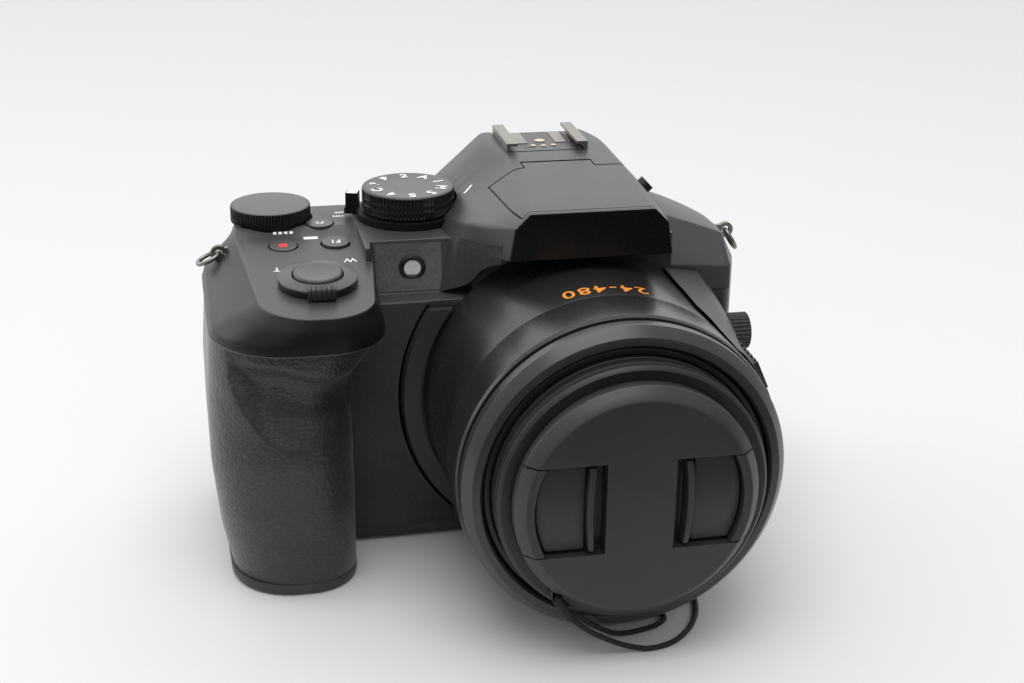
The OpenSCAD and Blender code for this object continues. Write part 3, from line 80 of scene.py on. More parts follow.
# Node graphs
class Graph:
    """Short words for building a material's nodes: each call adds one node and returns its output."""

    def __init__(self, tree):
        self.tree = tree
        self.where = tree.nodes.new("ShaderNodeTexCoord").outputs["Object"]

    def node(self, kind, **given):
        made = self.tree.nodes.new(kind)
        for key, value in given.items():
            if key.startswith("set_"):
                setattr(made, key[4:], value)
            else:
                self.feed(made.inputs[key.replace("_", " ")], value)
        return made

    def feed(self, socket, value):
        if isinstance(value, bpy.types.NodeSocket):
            self.tree.links.new(value, socket)
        else:
            socket.default_value = value

    def noise(self, scale, detail=3.0, rough=0.55, at=None):
        made = self.node("ShaderNodeTexNoise", Scale=scale, Detail=detail, Roughness=rough)
        self.feed(made.inputs["Vector"], at or self.where)
        return made.outputs["Fac"]

    def cells(self, scale, feature="F1", smooth=None, at=None):
        made = self.node("ShaderNodeTexVoronoi", set_feature=feature, Scale=scale)
        if smooth is not None:
            made.inputs["Smoothness"].default_value = smooth
        self.feed(made.inputs["Vector"], at or self.where)
        return made.outputs["Distance"]

    def span(self, value, low, high, to_low, to_high):
        made = self.node("ShaderNodeMapRange")
        for socket, given in zip(made.inputs, (value, low, high, to_low, to_high)):
            self.feed(socket, given)
        return made.outputs["Result"]

    def join(self, a, b, how="ADD"):
        made = self.node("ShaderNodeMath", set_operation=how)
        self.feed(made.inputs[0], a)
        self.feed(made.inputs[1], b)
        return made.outputs[0]

    def ramp(self, value, stops):
        made = self.node("ShaderNodeValToRGB", Fac=value)
        band = made.color_ramp.elements
        while len(band) < len(stops):
            band.new(0.5)
        for element, (place, shade) in zip(band, stops):
            element.position = place
            element.color = (*shade, 1)
        return made.outputs["Color"]

    def bump(self, height, depth_mm, strength=1.0, base=None):
        made = self.node("ShaderNodeBump", Height=height, Distance=depth_mm * MM, Strength=strength)
        if base is not None:
            self.feed(made.inputs["Normal"], base)
        return made.outputs["Normal"]


WANDER_SCALE, HIDE_SCALE = 60.0, 45.0
ROUGH_SPREAD = 0.05


def tint(shade, factor):
    """A colour made lighter or darker by a factor."""
    return tuple(min(1.0, c * factor) for c in shade)


def blank(name):
    """New material, with its node graph and its shader."""
    paint = bpy.data.materials.new(name)
    paint.use_nodes = True
    return paint, Graph(paint.node_tree), paint.node_tree.nodes["Principled BSDF"]


def finish(name, shade, rough, grain_mm=0.35, depth_mm=0.02, vary=0.25, **sockets):
    """Moulded surface: a colour that wanders by vary, a roughness that wanders a little, and a fine
    spark-eroded grain of the given size and depth. Other sockets of the shader are set by name."""
    paint, g, shader = blank(name)
    wander = g.noise(WANDER_SCALE, 4.0)
    speck = g.noise(1 / (grain_mm * MM), 2.0)
    mixed = g.join(g.join(wander, 0.5, "MULTIPLY"), g.join(speck, 0.5, "MULTIPLY"))
    stops = [(0.3, tint(shade, 1 - vary)), (0.7, tint(shade, 1 + vary))]
    g.feed(shader.inputs["Base Color"], g.ramp(mixed, stops))
    least = max(0.02, rough - ROUGH_SPREAD)
    g.feed(shader.inputs["Roughness"], g.span(mixed, 0.3, 0.7, least, rough + ROUGH_SPREAD))
    if depth_mm > 0:
        g.feed(shader.inputs["Normal"], g.bump(speck, depth_mm))
    for socket, value in sockets.items():
        shader.inputs[socket.replace("_", " ")].default_value = value
    return paint


def leather(name, shade, rough, cell_mm, depth_mm, sheen=0.0):
    """Moulded leather grain: rounded cells with narrow valleys, stretched and broken up by noise, over a
    finer pebble."""
    paint, g, shader = blank(name)
    warp = g.node("ShaderNodeTexNoise", Scale=0.5 / (cell_mm * MM), Detail=2.0)
    g.feed(warp.inputs["Vector"], g.where)
    shift = g.node("ShaderNodeVectorMath", set_operation="MULTIPLY_ADD")
    g.feed(shift.inputs[0], warp.outputs["Color"])
    shift.inputs[1].default_value = (1.2 * cell_mm * MM,) * 3
    g.feed(shift.inputs[2], g.where)
    bent = shift.outputs["Vector"]
    hide = g.cells(1 / (cell_mm * MM), "SMOOTH_F1", 0.35, bent)
    pebble = g.noise(3.2 / (cell_mm * MM), 3.0)
    height = g.join(g.join(hide, -1.0, "MULTIPLY"), g.join(pebble, 0.35, "MULTIPLY"))
    wander = g.noise(HIDE_SCALE, 4.0)
    # Colour: lighter on the cell tops and darker in the valleys between them, painted shade in the grain,
    # plus a tone that wanders at random
    lift = g.join(g.span(hide, 0.1, 0.7, 0.25, 0.0), g.join(wander, 0.75, "MULTIPLY"))
    g.feed(shader.inputs["Base Color"], g.ramp(lift, [(0.25, tint(shade, 0.7)), (0.65, tint(shade, 1.3))]))
    g.feed(shader.inputs["Roughness"], g.span(lift, 0.2, 0.7, rough + 0.07, rough - 0.06))
    g.feed(shader.inputs["Normal"], g.bump(height, depth_mm))
    shader.inputs["Sheen Weight"].default_value = sheen
    shader.inputs["Sheen Roughness"].default_value = 0.45
    return paint


BLACK = (0.032, 0.032, 0.033)
paints = {
    "body": finish("grained_plastic", BLACK, 0.46, 0.32, 0.03),
    "satin": finish("satin_plastic", (0.045, 0.045, 0.046), 0.4, 0.22, 0.012),
    # Skirt: a darker copy of the satin plastic with weak reflection, painted shade on the flank, which
    # reflects less light than the top
    "skirt": finish("shaded_skirt_plastic", (0.009, 0.009, 0.0095), 0.36, 0.3, 0.01, Specular_IOR_Level=0.3),
    "grip": leather("grip_leather", (0.024, 0.024, 0.025), 0.33, 0.85, 0.12, 0.12),
    "patch": leather("patch_leather", (0.028, 0.028, 0.029), 0.55, 0.5, 0.05),
    "gloss": finish("gloss_panel", (0.004, 0.004, 0.0045), 0.28, 0.6, 0.001),
    "dial": finish("dial_top", (0.058, 0.058, 0.059), 0.38, 0.2, 0.008),
    # Near-black with weak reflection: painted shade for the power lever, which lies in the shade of the mode
    # dial
    "dark": finish("shaded_plastic", (0.006, 0.006, 0.0065), 0.5, 0.3, 0.01, Specular_IOR_Level=0.15),
    "lever": finish("lever_plastic", (0.012, 0.012, 0.0125), 0.36, 0.25, 0.012),
    # Lamp plate: lighter grey than the cover's satin, painted light that the leaning panel catches from above
    # and in front
    "plate": finish("lamp_plate", (0.1, 0.1, 0.101), 0.5, 0.5, 0.04, 0.5),
    "knurl": finish("knurl_plastic", (0.014, 0.014, 0.015), 0.36, 0.3, 0.008),
    "barrel": finish("barrel_plastic", (0.016, 0.016, 0.0165), 0.28, 0.25, 0.01),
    "ring": finish("ring_plastic", (0.034, 0.034, 0.036), 0.3, 0.25, 0.008),
    "hump": finish("hump_plastic", (0.04, 0.04, 0.041), 0.4, 0.22, 0.012),
    "cap": finish("cap_plastic", (0.03, 0.03, 0.0315), 0.42, 0.3, 0.025),
    "tube": finish("tube_plastic", (0.012, 0.012, 0.0125), 0.42, 0.3, 0.01),
    "metal": finish("shoe_steel", (0.27, 0.255, 0.235), 0.38, 0.5, 0.004, 0.15, Metallic=1.0),
    "contact": finish("contact_gold", (0.62, 0.52, 0.34), 0.3, 0.5, 0.003, 0.1, Metallic=1.0),
    "glass": finish("coated_glass", (0.02, 0.022, 0.035), 0.05, 3.0, 0, 0.1, Coat_Weight=0.6),
    "lamp": finish("lamp_lens", (0.85, 0.85, 0.86), 0.3, 1.2, 0.02, 0.2, Coat_Weight=0.5),
    "screen": finish("screen_glass", (0.006, 0.007, 0.009), 0.07, 4.0, 0, 0.15, Coat_Weight=0.5),
    "diffuser": finish("flash_diffuser", (0.72, 0.74, 0.73), 0.25, 0.8, 0.05, 0.06),
    "cord": finish("cord_braid", (0.008, 0.008, 0.0085), 0.75, 0.3, 0.06),
    "cell": finish("battery_wrap", (0.03, 0.03, 0.033), 0.45, 0.6, 0.01),
    "frame_metal": finish("chassis_metal", (0.32, 0.33, 0.34), 0.42, 0.6, 0.01, 0.15, Metallic=1.0),
    "board": finish("board_green", (0.014, 0.09, 0.045), 0.4, 0.8, 0.01, 0.3),
    "white": finish("white_ink", (0.85, 0.85, 0.84), 0.5, 0.2, 0.004, 0.08),
    "orange": finish("orange_ink", (0.85, 0.29, 0.035), 0.45, 0.2, 0.004, 0.1),
    "red": finish("red_ink", (0.72, 0.035, 0.035), 0.4, 0.2, 0.004, 0.12),
}

# Finish of each solid, also of those whose place a piece takes
wears = {
    "body": ["front_cover", "rear_cover", "bottom_cover", "side_pod", "monitor_frame",
             "lens_collar", "terminal_door", "battery_door"],
    "satin": ["top_cover", "shoulder_cover", "shoe_insert"],
    "hump": ["viewfinder_housing", "flash_head"],
    "grip": ["grip_rubber", "thumb_rest", "eyecup"],
    "gloss": ["hump_panel"],
    "dial": ["shutter_button", "zoom_lever", "movie_button", "fn1_button", "fn2_button"],
    # Power lever in the painted-shade paint
    "dark": ["power_lever"],
    "knurl": ["mode_dial", "rear_dial", "side_dial", "side_lever", "diopter_dial", "cursor_pad",
              "set_button", "play_button", "lock_button", "flash_button"],
    "barrel": ["lens_barrel", "lens_front_ring"],
    "tube": ["zoom_tube", "inner_tube", "front_retainer", "iris_unit", "lens_carrier"],
    "cap": ["cap_body", "cap_clip_left", "cap_clip_right"],
    "metal": ["hot_shoe", "strap_lugs", "strap_ring_left", "strap_ring_right", "tripod_bush"],
    "contact": ["shoe_contacts"],
    "glass": ["front_element", "rear_element", "eyepiece_lens"],
    "lamp": ["af_lamp"],
    "screen": ["monitor_glass"],
    "diffuser": ["flash_window"],
    "cord": ["cap_cord", "cap_cord_hitch"],
    "cell": ["battery"],
    "frame_metal": ["chassis"],
    "board": ["main_board"],
}


def wear(name, paint):
    """Gives a solid its finish in place of the one that it came with."""
    mesh = nodes[name].data
    mesh.materials.clear()
    mesh.materials.append(paints[paint])


for paint, names in wears.items():
    for name in names:
        wear(name, paint)


# Edges of the solids: rounded by a bevel, or left crisp
WELD_MM = 0.002
FLAT_DEG = 0.4


def smoothed(name):
    """A solid with its triangles welded and its shading run smoothly over them."""
    made = nodes[name]
    mesh = made.data
    if "custom_normal" in mesh.attributes:
        mesh.attributes.remove(mesh.attributes["custom_normal"])
    mesh.polygons.foreach_set("use_smooth", np.ones(len(mesh.polygons), bool))
    weld = made.modifiers.new("weld", "WELD")
    weld.merge_threshold = WELD_MM * MM
    return made


def soften(name, width_mm, segments=2, angle=28):
    """Rounds a solid's sharp edges: flat triangles are joined, and edges sharper than the angle get a bevel
    of the given width."""
    made = smoothed(name)
    flat = made.modifiers.new("flat", "DECIMATE")
    flat.decimate_type = "DISSOLVE"
    flat.angle_limit = math.radians(FLAT_DEG)
    edge = made.modifiers.new("edge", "BEVEL")
    edge.limit_method = "ANGLE"
    edge.angle_limit = math.radians(angle)
    edge.width = width_mm * MM
    edge.segments = segments
    edge.use_clamp_overlap = False
    edge.harden_normals = True


def crisp(name, angle=30):
    """Smooth shading over a solid's curved faces, with a crease at each edge sharper than the angle."""
    crease = smoothed(name).modifiers.new("crease", "EDGE_SPLIT")
    crease.split_angle = math.radians(angle)


for name in ("viewfinder_housing", "flash_head", "side_lever", "terminal_door"):
    crisp(name)
EDGE_WIDTHS = {"shoulder_cover": 0.4, "monitor_frame": 0.5, "top_cover": 0.25, "side_pod": 0.3,
               "hump_panel": 0.2, "rear_cover": 0.12, "battery_door": 0.3, "hot_shoe": 0.12, "cap_body": 0.2,
               "strap_lugs": 0.12}
for name, width in EDGE_WIDTHS.items():
    soften(name, width)


# Meshes
def smooth_line(points, fill):
    """Smooth curve through points: each step between two of them is the cubic that leaves and arrives along
    the line between its neighbours, filled with equal parts."""
    padded = np.vstack([points[:1], points, points[-1:]])
    a, b, c, d = padded[:-3], padded[1:-2], padded[2:-1], padded[3:]
    t = (np.arange(fill) / fill)[None, :, None]
    a, b, c, d = (v[:, None, :] for v in (a, b, c, d))
    curve = 0.5 * (2 * b + (c - a) * t + (2 * a - 5 * b + 4 * c - d) * t ** 2
                   + (3 * b - a - 3 * c + d) * t ** 3)
    return np.vstack([curve.reshape(-1, 3), points[-1:]])


def quads(rows, columns, wrap_rows=False, wrap_columns=False):
    """Faces of a grid of points, row by row, closed round in either way where asked."""
    i = np.arange(rows if wrap_rows else rows - 1)[:, None]
    j = np.arange(columns if wrap_columns else columns - 1)[None, :]
    down, across = (i + 1) % rows, (j + 1) % columns
    return np.stack([i * columns + j, i * columns + across, down * columns + across, down * columns + j],
                    -1).reshape(-1, 4)


def turned_out(points, fours, threes):
    """Part whose faces are turned over where the volume that they enclose comes out negative."""
    tris = np.vstack([fours[:, :3], fours[:, [0, 2, 3]], threes])
    a, b, c = (points[tris[:, k]] - points.mean(0) for k in range(3))
    if np.einsum("ij,ij->", a, np.cross(b, c)) < 0:
        fours, threes = fours[:, ::-1], threes[:, ::-1]
    return points, fours, threes


def solid(grid):
    """Closed part from a grid of rings (rows, columns, 3): the first and last ring are capped by a fan about
    their middle."""
    rows, columns = grid.shape[:2]
    j = np.arange(columns)
    after = (j + 1) % columns
    first, last = rows * columns, rows * columns + 1
    points = np.vstack([grid.reshape(-1, 3), grid[0].mean(0), grid[-1].mean(0)])
    end = (rows - 1) * columns
    threes = np.vstack([np.stack([after, j, np.full(columns, first)], -1),
                        np.stack([end + j, end + after, np.full(columns, last)], -1)])
    return turned_out(points, quads(rows, columns, wrap_columns=True), threes)


def hoop(grid):
    """Closed part from a grid of points that runs round both ways."""
    rows, columns = grid.shape[:2]
    return turned_out(grid.reshape(-1, 3), quads(rows, columns, True, True), np.zeros((0, 3), int))


def piece(name, parts, body, paint, stands_for=(), sharp=35):
    """One object from parts in millimetres: it rides a body, wears a finish, and takes the place of solids.
    Edges sharper than the angle stay crisp."""
    starts = np.cumsum([0] + [len(p[0]) for p in parts])
    faces = [f for start, p in zip(starts, parts) for side in p[1:] for f in (side + start).tolist()]
    mesh = bpy.data.meshes.new(name)
    mesh.from_pydata((np.vstack([p[0] for p in parts]) * MM).tolist(), [], faces)
    mesh.validate()
    return dress(mesh, name, body, paint, stands_for, sharp)


def dress(mesh, name, body, paint, stands_for=(), sharp=35):
    """Object of a mesh in metres, with smooth faces between its sharp edges, its finish and its body."""
    mesh.polygons.foreach_set("use_smooth", np.ones(len(mesh.polygons), bool))
    mesh.set_sharp_from_angle(angle=math.radians(sharp))
    made = bpy.data.objects.new(name, mesh)
    bpy.context.scene.collection.objects.link(made)
    mesh.materials.append(paints[paint])
    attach(made, body)
    if stands_for:
        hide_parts(*stands_for)
    return made


def tube_grid(line, radius, sides):
    """Round tube along a line: at each point a ring square to the line, with one side level."""
    along = np.gradient(line, axis=0)
    along /= np.linalg.norm(along, axis=1, keepdims=True)
    level = np.cross([0.0, 0.0, 1.0], along)
    level /= np.maximum(np.linalg.norm(level, axis=1, keepdims=True), 1e-9)
    rise = np.cross(along, level)
    turn = 2 * np.pi * np.arange(sides) / sides
    ring = np.cos(turn)[None, :, None] * level[:, None, :] + np.sin(turn)[None, :, None] * rise[:, None, :]
    return line[:, None, :] + np.reshape(radius, (-1, 1, 1)) * ring


def rounded(corners, n=6):
    """Closed outline with rounded corners: each [x, y, radius] becomes an arc that touches both its sides,
    and a corner of radius 0 stays a point."""
    flat = np.array([c[:2] for c in corners], float)
    out = []
    for i, (x, y, r) in enumerate(corners):
        here = flat[i]
        if r == 0:
            out.append(here[None])
            continue
        u, v = flat[i - 1] - here, flat[(i + 1) % len(flat)] - here
        u, v = u / np.linalg.norm(u), v / np.linalg.norm(v)
        half = math.acos(float(np.clip(u @ v, -1, 1))) / 2
        centre = here + (u + v) / np.linalg.norm(u + v) * r / math.sin(half)
        first, last = here + u * r / math.tan(half) - centre, here + v * r / math.tan(half) - centre
        sweep = math.pi - 2 * half
        t = np.linspace(0, 1, n + 1)[:, None]
        out.append(centre + (np.sin((1 - t) * sweep) * first + np.sin(t * sweep) * last) / math.sin(sweep))
    return np.vstack(out)


def miters(outline):
    """Outward direction at each point of a closed outline that runs anticlockwise, long enough at a corner to
    move both its sides by one."""
    along = np.roll(outline, -1, 0) - outline
    along = along / np.linalg.norm(along, axis=1, keepdims=True)
    out = np.stack([along[:, 1], -along[:, 0]], -1)
    before = np.roll(out, 1, 0)
    return (out + before) / (1 + (out * before).sum(1, keepdims=True))


def prism(outline, levels):
    """Outline carried up through levels of [inset, height]."""
    outline = np.asarray(outline, float)
    x, y = outline.T
    if (x * np.roll(y, -1) - y * np.roll(x, -1)).sum() < 0:
        outline = outline[::-1]
    steps = np.asarray(levels, float)
    ring = outline[None] - steps[:, 0, None, None] * miters(outline)[None]
    rise = np.broadcast_to(steps[:, 1, None, None], ring.shape[:2] + (1,))
    return np.concatenate([ring, rise], -1)


def soft_levels(low, high, edge, foot=0.0, n=4):
    """Levels of a prism with a rounded upper edge, and a rounded lower one where a foot is given."""
    t = np.linspace(0, np.pi / 2, n)
    lower = [[0, low]]
    if foot:
        lower = np.stack([foot * (1 - np.sin(t)), low + foot * (1 - np.cos(t))], -1).tolist()
    return lower + np.stack([edge * (1 - np.cos(t)), high - edge + edge * np.sin(t)], -1).tolist()


def spin(profile, steps=96, wave=None):
    """Profile of [radius, height] carried round the z axis; a wave of (angle, row) is added to the radius."""
    p = np.asarray(profile, float)
    a = 2 * np.pi * np.arange(steps) / steps
    r = np.broadcast_to(p[:, :1], (len(p), steps)).copy()
    if wave is not None:
        r = r + wave(a[None, :], np.arange(len(p))[:, None])
    h = np.broadcast_to(p[:, 1:2], r.shape)
    return np.stack([r * np.cos(a), r * np.sin(a), h], -1)


def placed(grid, origin, u=(1, 0, 0), v=(0, 1, 0), w=(0, 0, 1)):
    """A grid of local points moved to an origin and turned onto three axes."""
    return np.asarray(origin, float) + grid @ np.array([u, v, w], float)


def on_panel(grid, at):
    """A grid of local points set on the sloping top panel at [x, y]."""
    c, s = math.cos(PANEL_TILT), math.sin(PANEL_TILT)
    return placed(grid, (at[0], at[1], panel_height(at[1])), (1, 0, 0), (0, c, s), (0, -s, c))


FACING_FRONT = ((1, 0, 0), (0, 0, 1), (0, -1, 0))
FACING_REAR = ((1, 0, 0), (0, 0, 1), (0, 1, 0))


def on_axis(grid):
    """A grid of local points set on the lens axis: x to the right, y up, z forward."""
    return placed(grid, (0, 0, LENS_Z), *FACING_FRONT)


def lens_turn(profile, steps=224):
    """Closed profile of [radius, distance forward] carried round the lens axis."""
    return hoop(on_axis(spin(profile, steps)))


def outward(path, middle):
    """Unit directions square to paths in plan, away from a point inside them."""
    turn = np.gradient(path, axis=-2)
    out = np.stack([turn[..., 1], -turn[..., 0]], -1)
    out /= np.linalg.norm(out, axis=-1, keepdims=True)
    return out * np.sign(((path - middle) * out).sum((-1, -2), keepdims=True))


def eased(z, table, blur=1.6):
    """Value of a table of [z, value] at z, averaged over a small span so that its corners are soft."""
    heights, values = np.array(table, float).T
    spread = np.linspace(-blur, blur, 9)
    weight = np.cos(spread / blur * np.pi / 2) + 0.05
    return sum(w * np.interp(z + d, heights, values) for d, w in zip(spread, weight)) / weight.sum()


def ease(x, low, high):
    """Soft step from 0 at low to 1 at high."""
    t = np.clip((x - low) / (high - low), 0, 1)
    return t * t * (3 - 2 * t)


# Lens
piece("barrel_shell", [lens_turn(rounded([
    [31.5, 18.6, 0], [35.75, 18.6, 0.2], [35.8, 52.35, 0.12], [35.35, 52.45, 0], [35.35, 52.8, 0],
    [36.0, 52.9, 0.12], [36.3, 65.4, 0.3], [35.9, 66.35, 0.15], [31.5, 66.35, 0]], 4))],
      "camera_body", "barrel", ["lens_barrel"])
piece("barrel_ring", [lens_turn(rounded([
    [31.5, 66.45, 0], [34.7, 66.45, 0], [34.7, 67.25, 0], [35.72, 67.45, 0.15], [35.72, 70.1, 0.12],
    [33.8, 72.5, 0.2], [32.1, 72.75, 0.2], [31.55, 72.1, 0.2]], 4))],
      "camera_body", "ring", ["lens_front_ring"])
piece("zoom_sleeve", [lens_turn(rounded([
    [29.85, 23.5, 0], [31.25, 23.5, 0], [31.25, 69.4, 0.1], [30.95, 69.6, 0], [30.95, 69.9, 0],
    [31.25, 70.1, 0.1], [31.2, 71.3, 0.15], [30.85, 71.55, 0.12], [29.85, 71.55, 0.1]], 3))],
      "zoom_tube", "tube", ["zoom_tube"])
piece("inner_sleeve", [lens_turn(rounded([
    [28.0, 28.0, 0], [29.6, 28.0, 0], [29.6, 72.6, 0.08], [29.3, 72.75, 0], [29.3, 73.05, 0],
    [29.6, 73.2, 0.08], [29.6, 75.2, 0.08], [29.25, 75.4, 0], [29.25, 75.7, 0], [29.5, 75.85, 0.08],
    [29.45, 76.9, 0.25], [28.7, 77.6, 0.12], [26.1, 77.6, 0.1], [25.9, 77.3, 0], [25.9, 70.0, 0],
    [22.35, 70.0, 0], [22.35, 66.0, 0], [20.9, 66.0, 0], [20.9, 64.5, 0], [28.0, 63.0, 0]], 3))],
      "inner_tube", "tube", ["inner_tube"])

# Lens cap: pinch clips
CLIP_Y = 10.1
CLIP_BACK = 79.15
PAD_HALF, PAD_R, PAD_IN, PAD_TOP = 9.75, 22.15, 11.6, 81.05
BAR_HALF, BAR_IN, BAR_BOW, BAR_DROP = 9.6, 10.15, 0.55, 0.5


def clip_parts(side):
    """A clip's rim, pad and ridge: the rim is the cap's edge profile cut straight at both ends, the pad a
    sunk plate that ends in an arc, and the ridge a bowed bar with a rounded top."""
    rim = rounded([[22.5, CLIP_BACK, 0], [22.5, 82.5, 0.25], [24.35, 82.6, 0.3], [26.45, 80.15, 0.25],
                   [26.45, CLIP_BACK, 0]], 4)
    across = np.linspace(-CLIP_Y, CLIP_Y, 41)
    x = np.sqrt(rim[None, :, 0] ** 2 - across[:, None] ** 2)
    rim_grid = np.stack([x, np.broadcast_to(across[:, None], x.shape),
                         np.broadcast_to(rim[None, :, 1], x.shape)], -1)
    arc = np.linspace(-PAD_HALF, PAD_HALF, 33)
    edge = np.stack([np.sqrt(PAD_R ** 2 - arc ** 2), arc], -1)
    pad = prism(np.vstack([[[PAD_IN, -PAD_HALF]], edge, [[PAD_IN, PAD_HALF]]]),
                soft_levels(CLIP_BACK, PAD_TOP, 0.5))
    sunk = prism(np.vstack([[[11.7, -9.0]], edge[2:-2] * [0.975, 0.93], [[11.7, 9.0]]]),
                 [[0, 81.0], [0.25, 81.12]])
    bar = rounded([[-0.95, CLIP_BACK, 0], [0.95, CLIP_BACK, 0], [0.8, 82.85, 0.55], [-0.55, 82.85, 0.5]], 4)
    along = np.linspace(-BAR_HALF, BAR_HALF, 33)
    bow = BAR_IN + BAR_BOW * (1 - (along / BAR_HALF) ** 2)
    drop = BAR_DROP * np.abs(along / BAR_HALF) ** 6
    across_bar, height = bar.T
    ridge = np.stack([bow[:, None] + across_bar, np.broadcast_to(along[:, None], (len(along), len(bar))),
                      height - drop[:, None] * (height > PAD_TOP)], -1)
    floor = prism([[9.2, -CLIP_Y], [22.4, -CLIP_Y], [22.4, CLIP_Y], [9.2, CLIP_Y]], [[0, 79.12], [0, 79.5]])
    turn = np.array([side, 1, 1])
    return [solid(on_axis(g * turn)) for g in (rim_grid, pad, sunk, ridge, floor)]


piece("clip_left_grip", clip_parts(-1), "cap_clip_left", "cap", ["cap_clip_left"])
piece("clip_right_grip", clip_parts(1), "cap_clip_right", "cap", ["cap_clip_right"])

# Dials and buttons
MODE_AT = (-35.2, 8.0)
REAR_AT = (-68.2, 14.4)
SHUTTER_AT = (-60.5, -25.0)
MODE_TEETH, REAR_TEETH = 72, 80
TOOTH_DEEP, GROOVE_DEEP, REAR_DEEP = 0.6, 0.45, 0.45


def mode_wave(angle, row):
    """Knurl of the mode dial: sharp teeth on three tiers, with plain ribbed stretches at four places."""
    teeth = 0.5 + 0.5 * np.cos(MODE_TEETH * angle)
    plain = ease(np.abs((angle / (np.pi / 2) + 0.28) % 1 - 0.5), 0.07, 0.1)
    tier = np.isin(row, [4, 5, 8, 9, 12, 13])
    groove = np.isin(row, [6, 7, 10, 11])
    return -TOOTH_DEEP * (1 - teeth) * tier * (0.45 + 0.55 * plain) - GROOVE_DEEP * groove * plain


mode_rows = [[3.0, 76.5], [10.6, 76.5], [11.0, 76.6], [11.05, 76.95], [11.25, 77.15], [11.25, 78.2],
             [11.25, 78.35], [11.25, 78.55], [11.25, 78.7], [11.25, 79.75], [11.25, 79.9], [11.25, 80.1],
             [11.25, 80.25], [11.25, 81.6], [11.15, 81.85], [11.05, 82.02], [10.9, 82.1], [10.1, 82.1],
             [10.0, 82.05], [4, 82.02]]
mode_dial = placed(spin(mode_rows, 12 * MODE_TEETH, mode_wave), (*MODE_AT, 0))
hub = placed(spin([[3.0, 65.5], [3.0, 76.6]], 48), (*MODE_AT, 0))
piece("mode_dial_knob", [solid(mode_dial), solid(hub)], "mode_dial", "knurl", ["mode_dial"], 50)
piece("mode_dial_face", [solid(placed(spin(
    [[10.35, 82.04], [10.3, 82.12], [9.9, 82.14], [9.6, 82.1], [4, 82.1]], 128), (*MODE_AT, 0)))],
      "mode_dial", "dial")


def rear_wave(angle, row):
    """Knurl of the rear dial: fine upright teeth on its side."""
    return -REAR_DEEP * (0.5 + 0.5 * np.cos(REAR_TEETH * angle)) * np.isin(row, [2, 3, 4])


rear_rows = [[3, 73.0], [9.3, 73.0], [9.7, 73.4], [9.7, 75.2], [9.7, 76.9], [9.58, 77.1], [9.4, 77.18],
             [9.1, 77.2], [8.7, 77.2], [4, 77.2]]
piece("rear_dial_knob", [solid(placed(spin(rear_rows, 768, rear_wave), (*REAR_AT, 0))),
                         solid(placed(spin([[3.0, 64.5], [3.0, 73.1]], 48), (*REAR_AT, 0)))],
      "rear_dial", "knurl", ["rear_dial"], 50)
piece("rear_dial_face", [solid(placed(spin([[9.05, 77.12], [9.0, 77.2], [8.6, 77.23], [4, 77.23]], 128),
                                      (*REAR_AT, 0)))], "rear_dial", "dial")
cap_rows = [[5.5, -1.2], [5.5, 2.45], [5.42, 2.75], [5.2, 2.95], [4.9, 3.0], [4.2, 2.9], [3.0, 2.78],
            [1.5, 2.7]]
piece("shutter_cap", [solid(on_panel(spin(cap_rows, 128), SHUTTER_AT))], "shutter_button", "dial",
      ["shutter_button"])


def zoom_ring():
    """Zoom lever: a ring with a top that falls outward, its wall in near-black paint that is painted shade,
    and a tab with five ribs over its front."""
    wall = spin(rounded([[5.8, 0.3, 0], [8.95, 0.3, 0.15], [9.0, 1.6, 0], [5.8, 1.6, 0]], 4), 160)
    top = spin(rounded([[5.8, 1.58, 0], [9.0, 1.58, 0], [8.95, 1.9, 0.12], [6.3, 2.5, 0.2],
                        [5.8, 2.3, 0.15]], 4), 160)
    half, waves = 3.1, 5.5
    t = np.linspace(-half, half, 81)
    rib = 0.5 + 0.5 * np.cos(2 * np.pi * (t + half) / (2 * half) * waves)
    shape = rounded([[-10.6, 0.35, 0.3], [-7.0, 0.35, 0], [-6.6, 2.5, 0.2], [-7.6, 3.1, 0.5],
                     [-9.9, 3.1, 0.9]], 5)
    middle = np.array([-8.6, 1.2])
    swell = 1 - 0.1 * rib
    tab = np.stack([np.broadcast_to(t[:, None], (len(t), len(shape))),
                    middle[0] + (shape[None, :, 0] - middle[0]) * swell[:, None],
                    middle[1] + (shape[None, :, 1] - middle[1]) * (1 - 0.2 * rib)[:, None]], -1)
    top, wall, tab = (on_panel(grid, SHUTTER_AT) for grid in (top, wall, tab))
    return [hoop(top)], [hoop(wall), solid(tab)]


lever_top, lever_wall = zoom_ring()
piece("zoom_ring", lever_top, "zoom_lever", "dial", ["zoom_lever"])
# The wall's near-black paint is painted shade; the tab wears the same paint
piece("zoom_ring_wall", lever_wall, "zoom_lever", "lever")

# Grip: rubber skin with a finger hollow; its tables run over height, and the lip over x
GRIP_FRONT = [[0, 41.2], [3, 41.6], [20, 44.4], [34, 45], [42, 44.6], [47, 44.7], [52, 44.5], [57, 44.2],
              [63, 44.2]]
GRIP_LEFT = [[0, 82.2], [3, 82.6], [14, 84.8], [30, 86.4], [46, 86.4], [60, 85.4], [63, 85.4]]
GRIP_INNER = [[0, 53.9], [46, 54.5], [52, 53.7], [56, 51], [60, 47.5], [63, 47.5]]
HOLLOW = [[34, 0], [38, 0.25], [42, 1.5], [46, 3.0], [49.5, 3.6], [53, 3.4], [55.5, 2.3], [57.2, 0.9],
          [58.4, 0.1], [60.5, 0]]
CREASE = [[36, -67], [40, -72.5], [43.6, -76.1], [48, -78.6], [52.7, -80.3], [56, -81.1], [61, -81.4]]
LIP_DROP = [[-82, -0.6], [-76, 0.0], [-71, 0.0], [-64.4, 2.2], [-58, 3.4], [-50, 4.0]]
CORE_INNER = 56.1
CORE_LEFT = 81.4
CORE_FRONT = 39.0
CORE_REAR = 4.0
GRIP_LOW, GRIP_HIGH = 3.04, 60.42
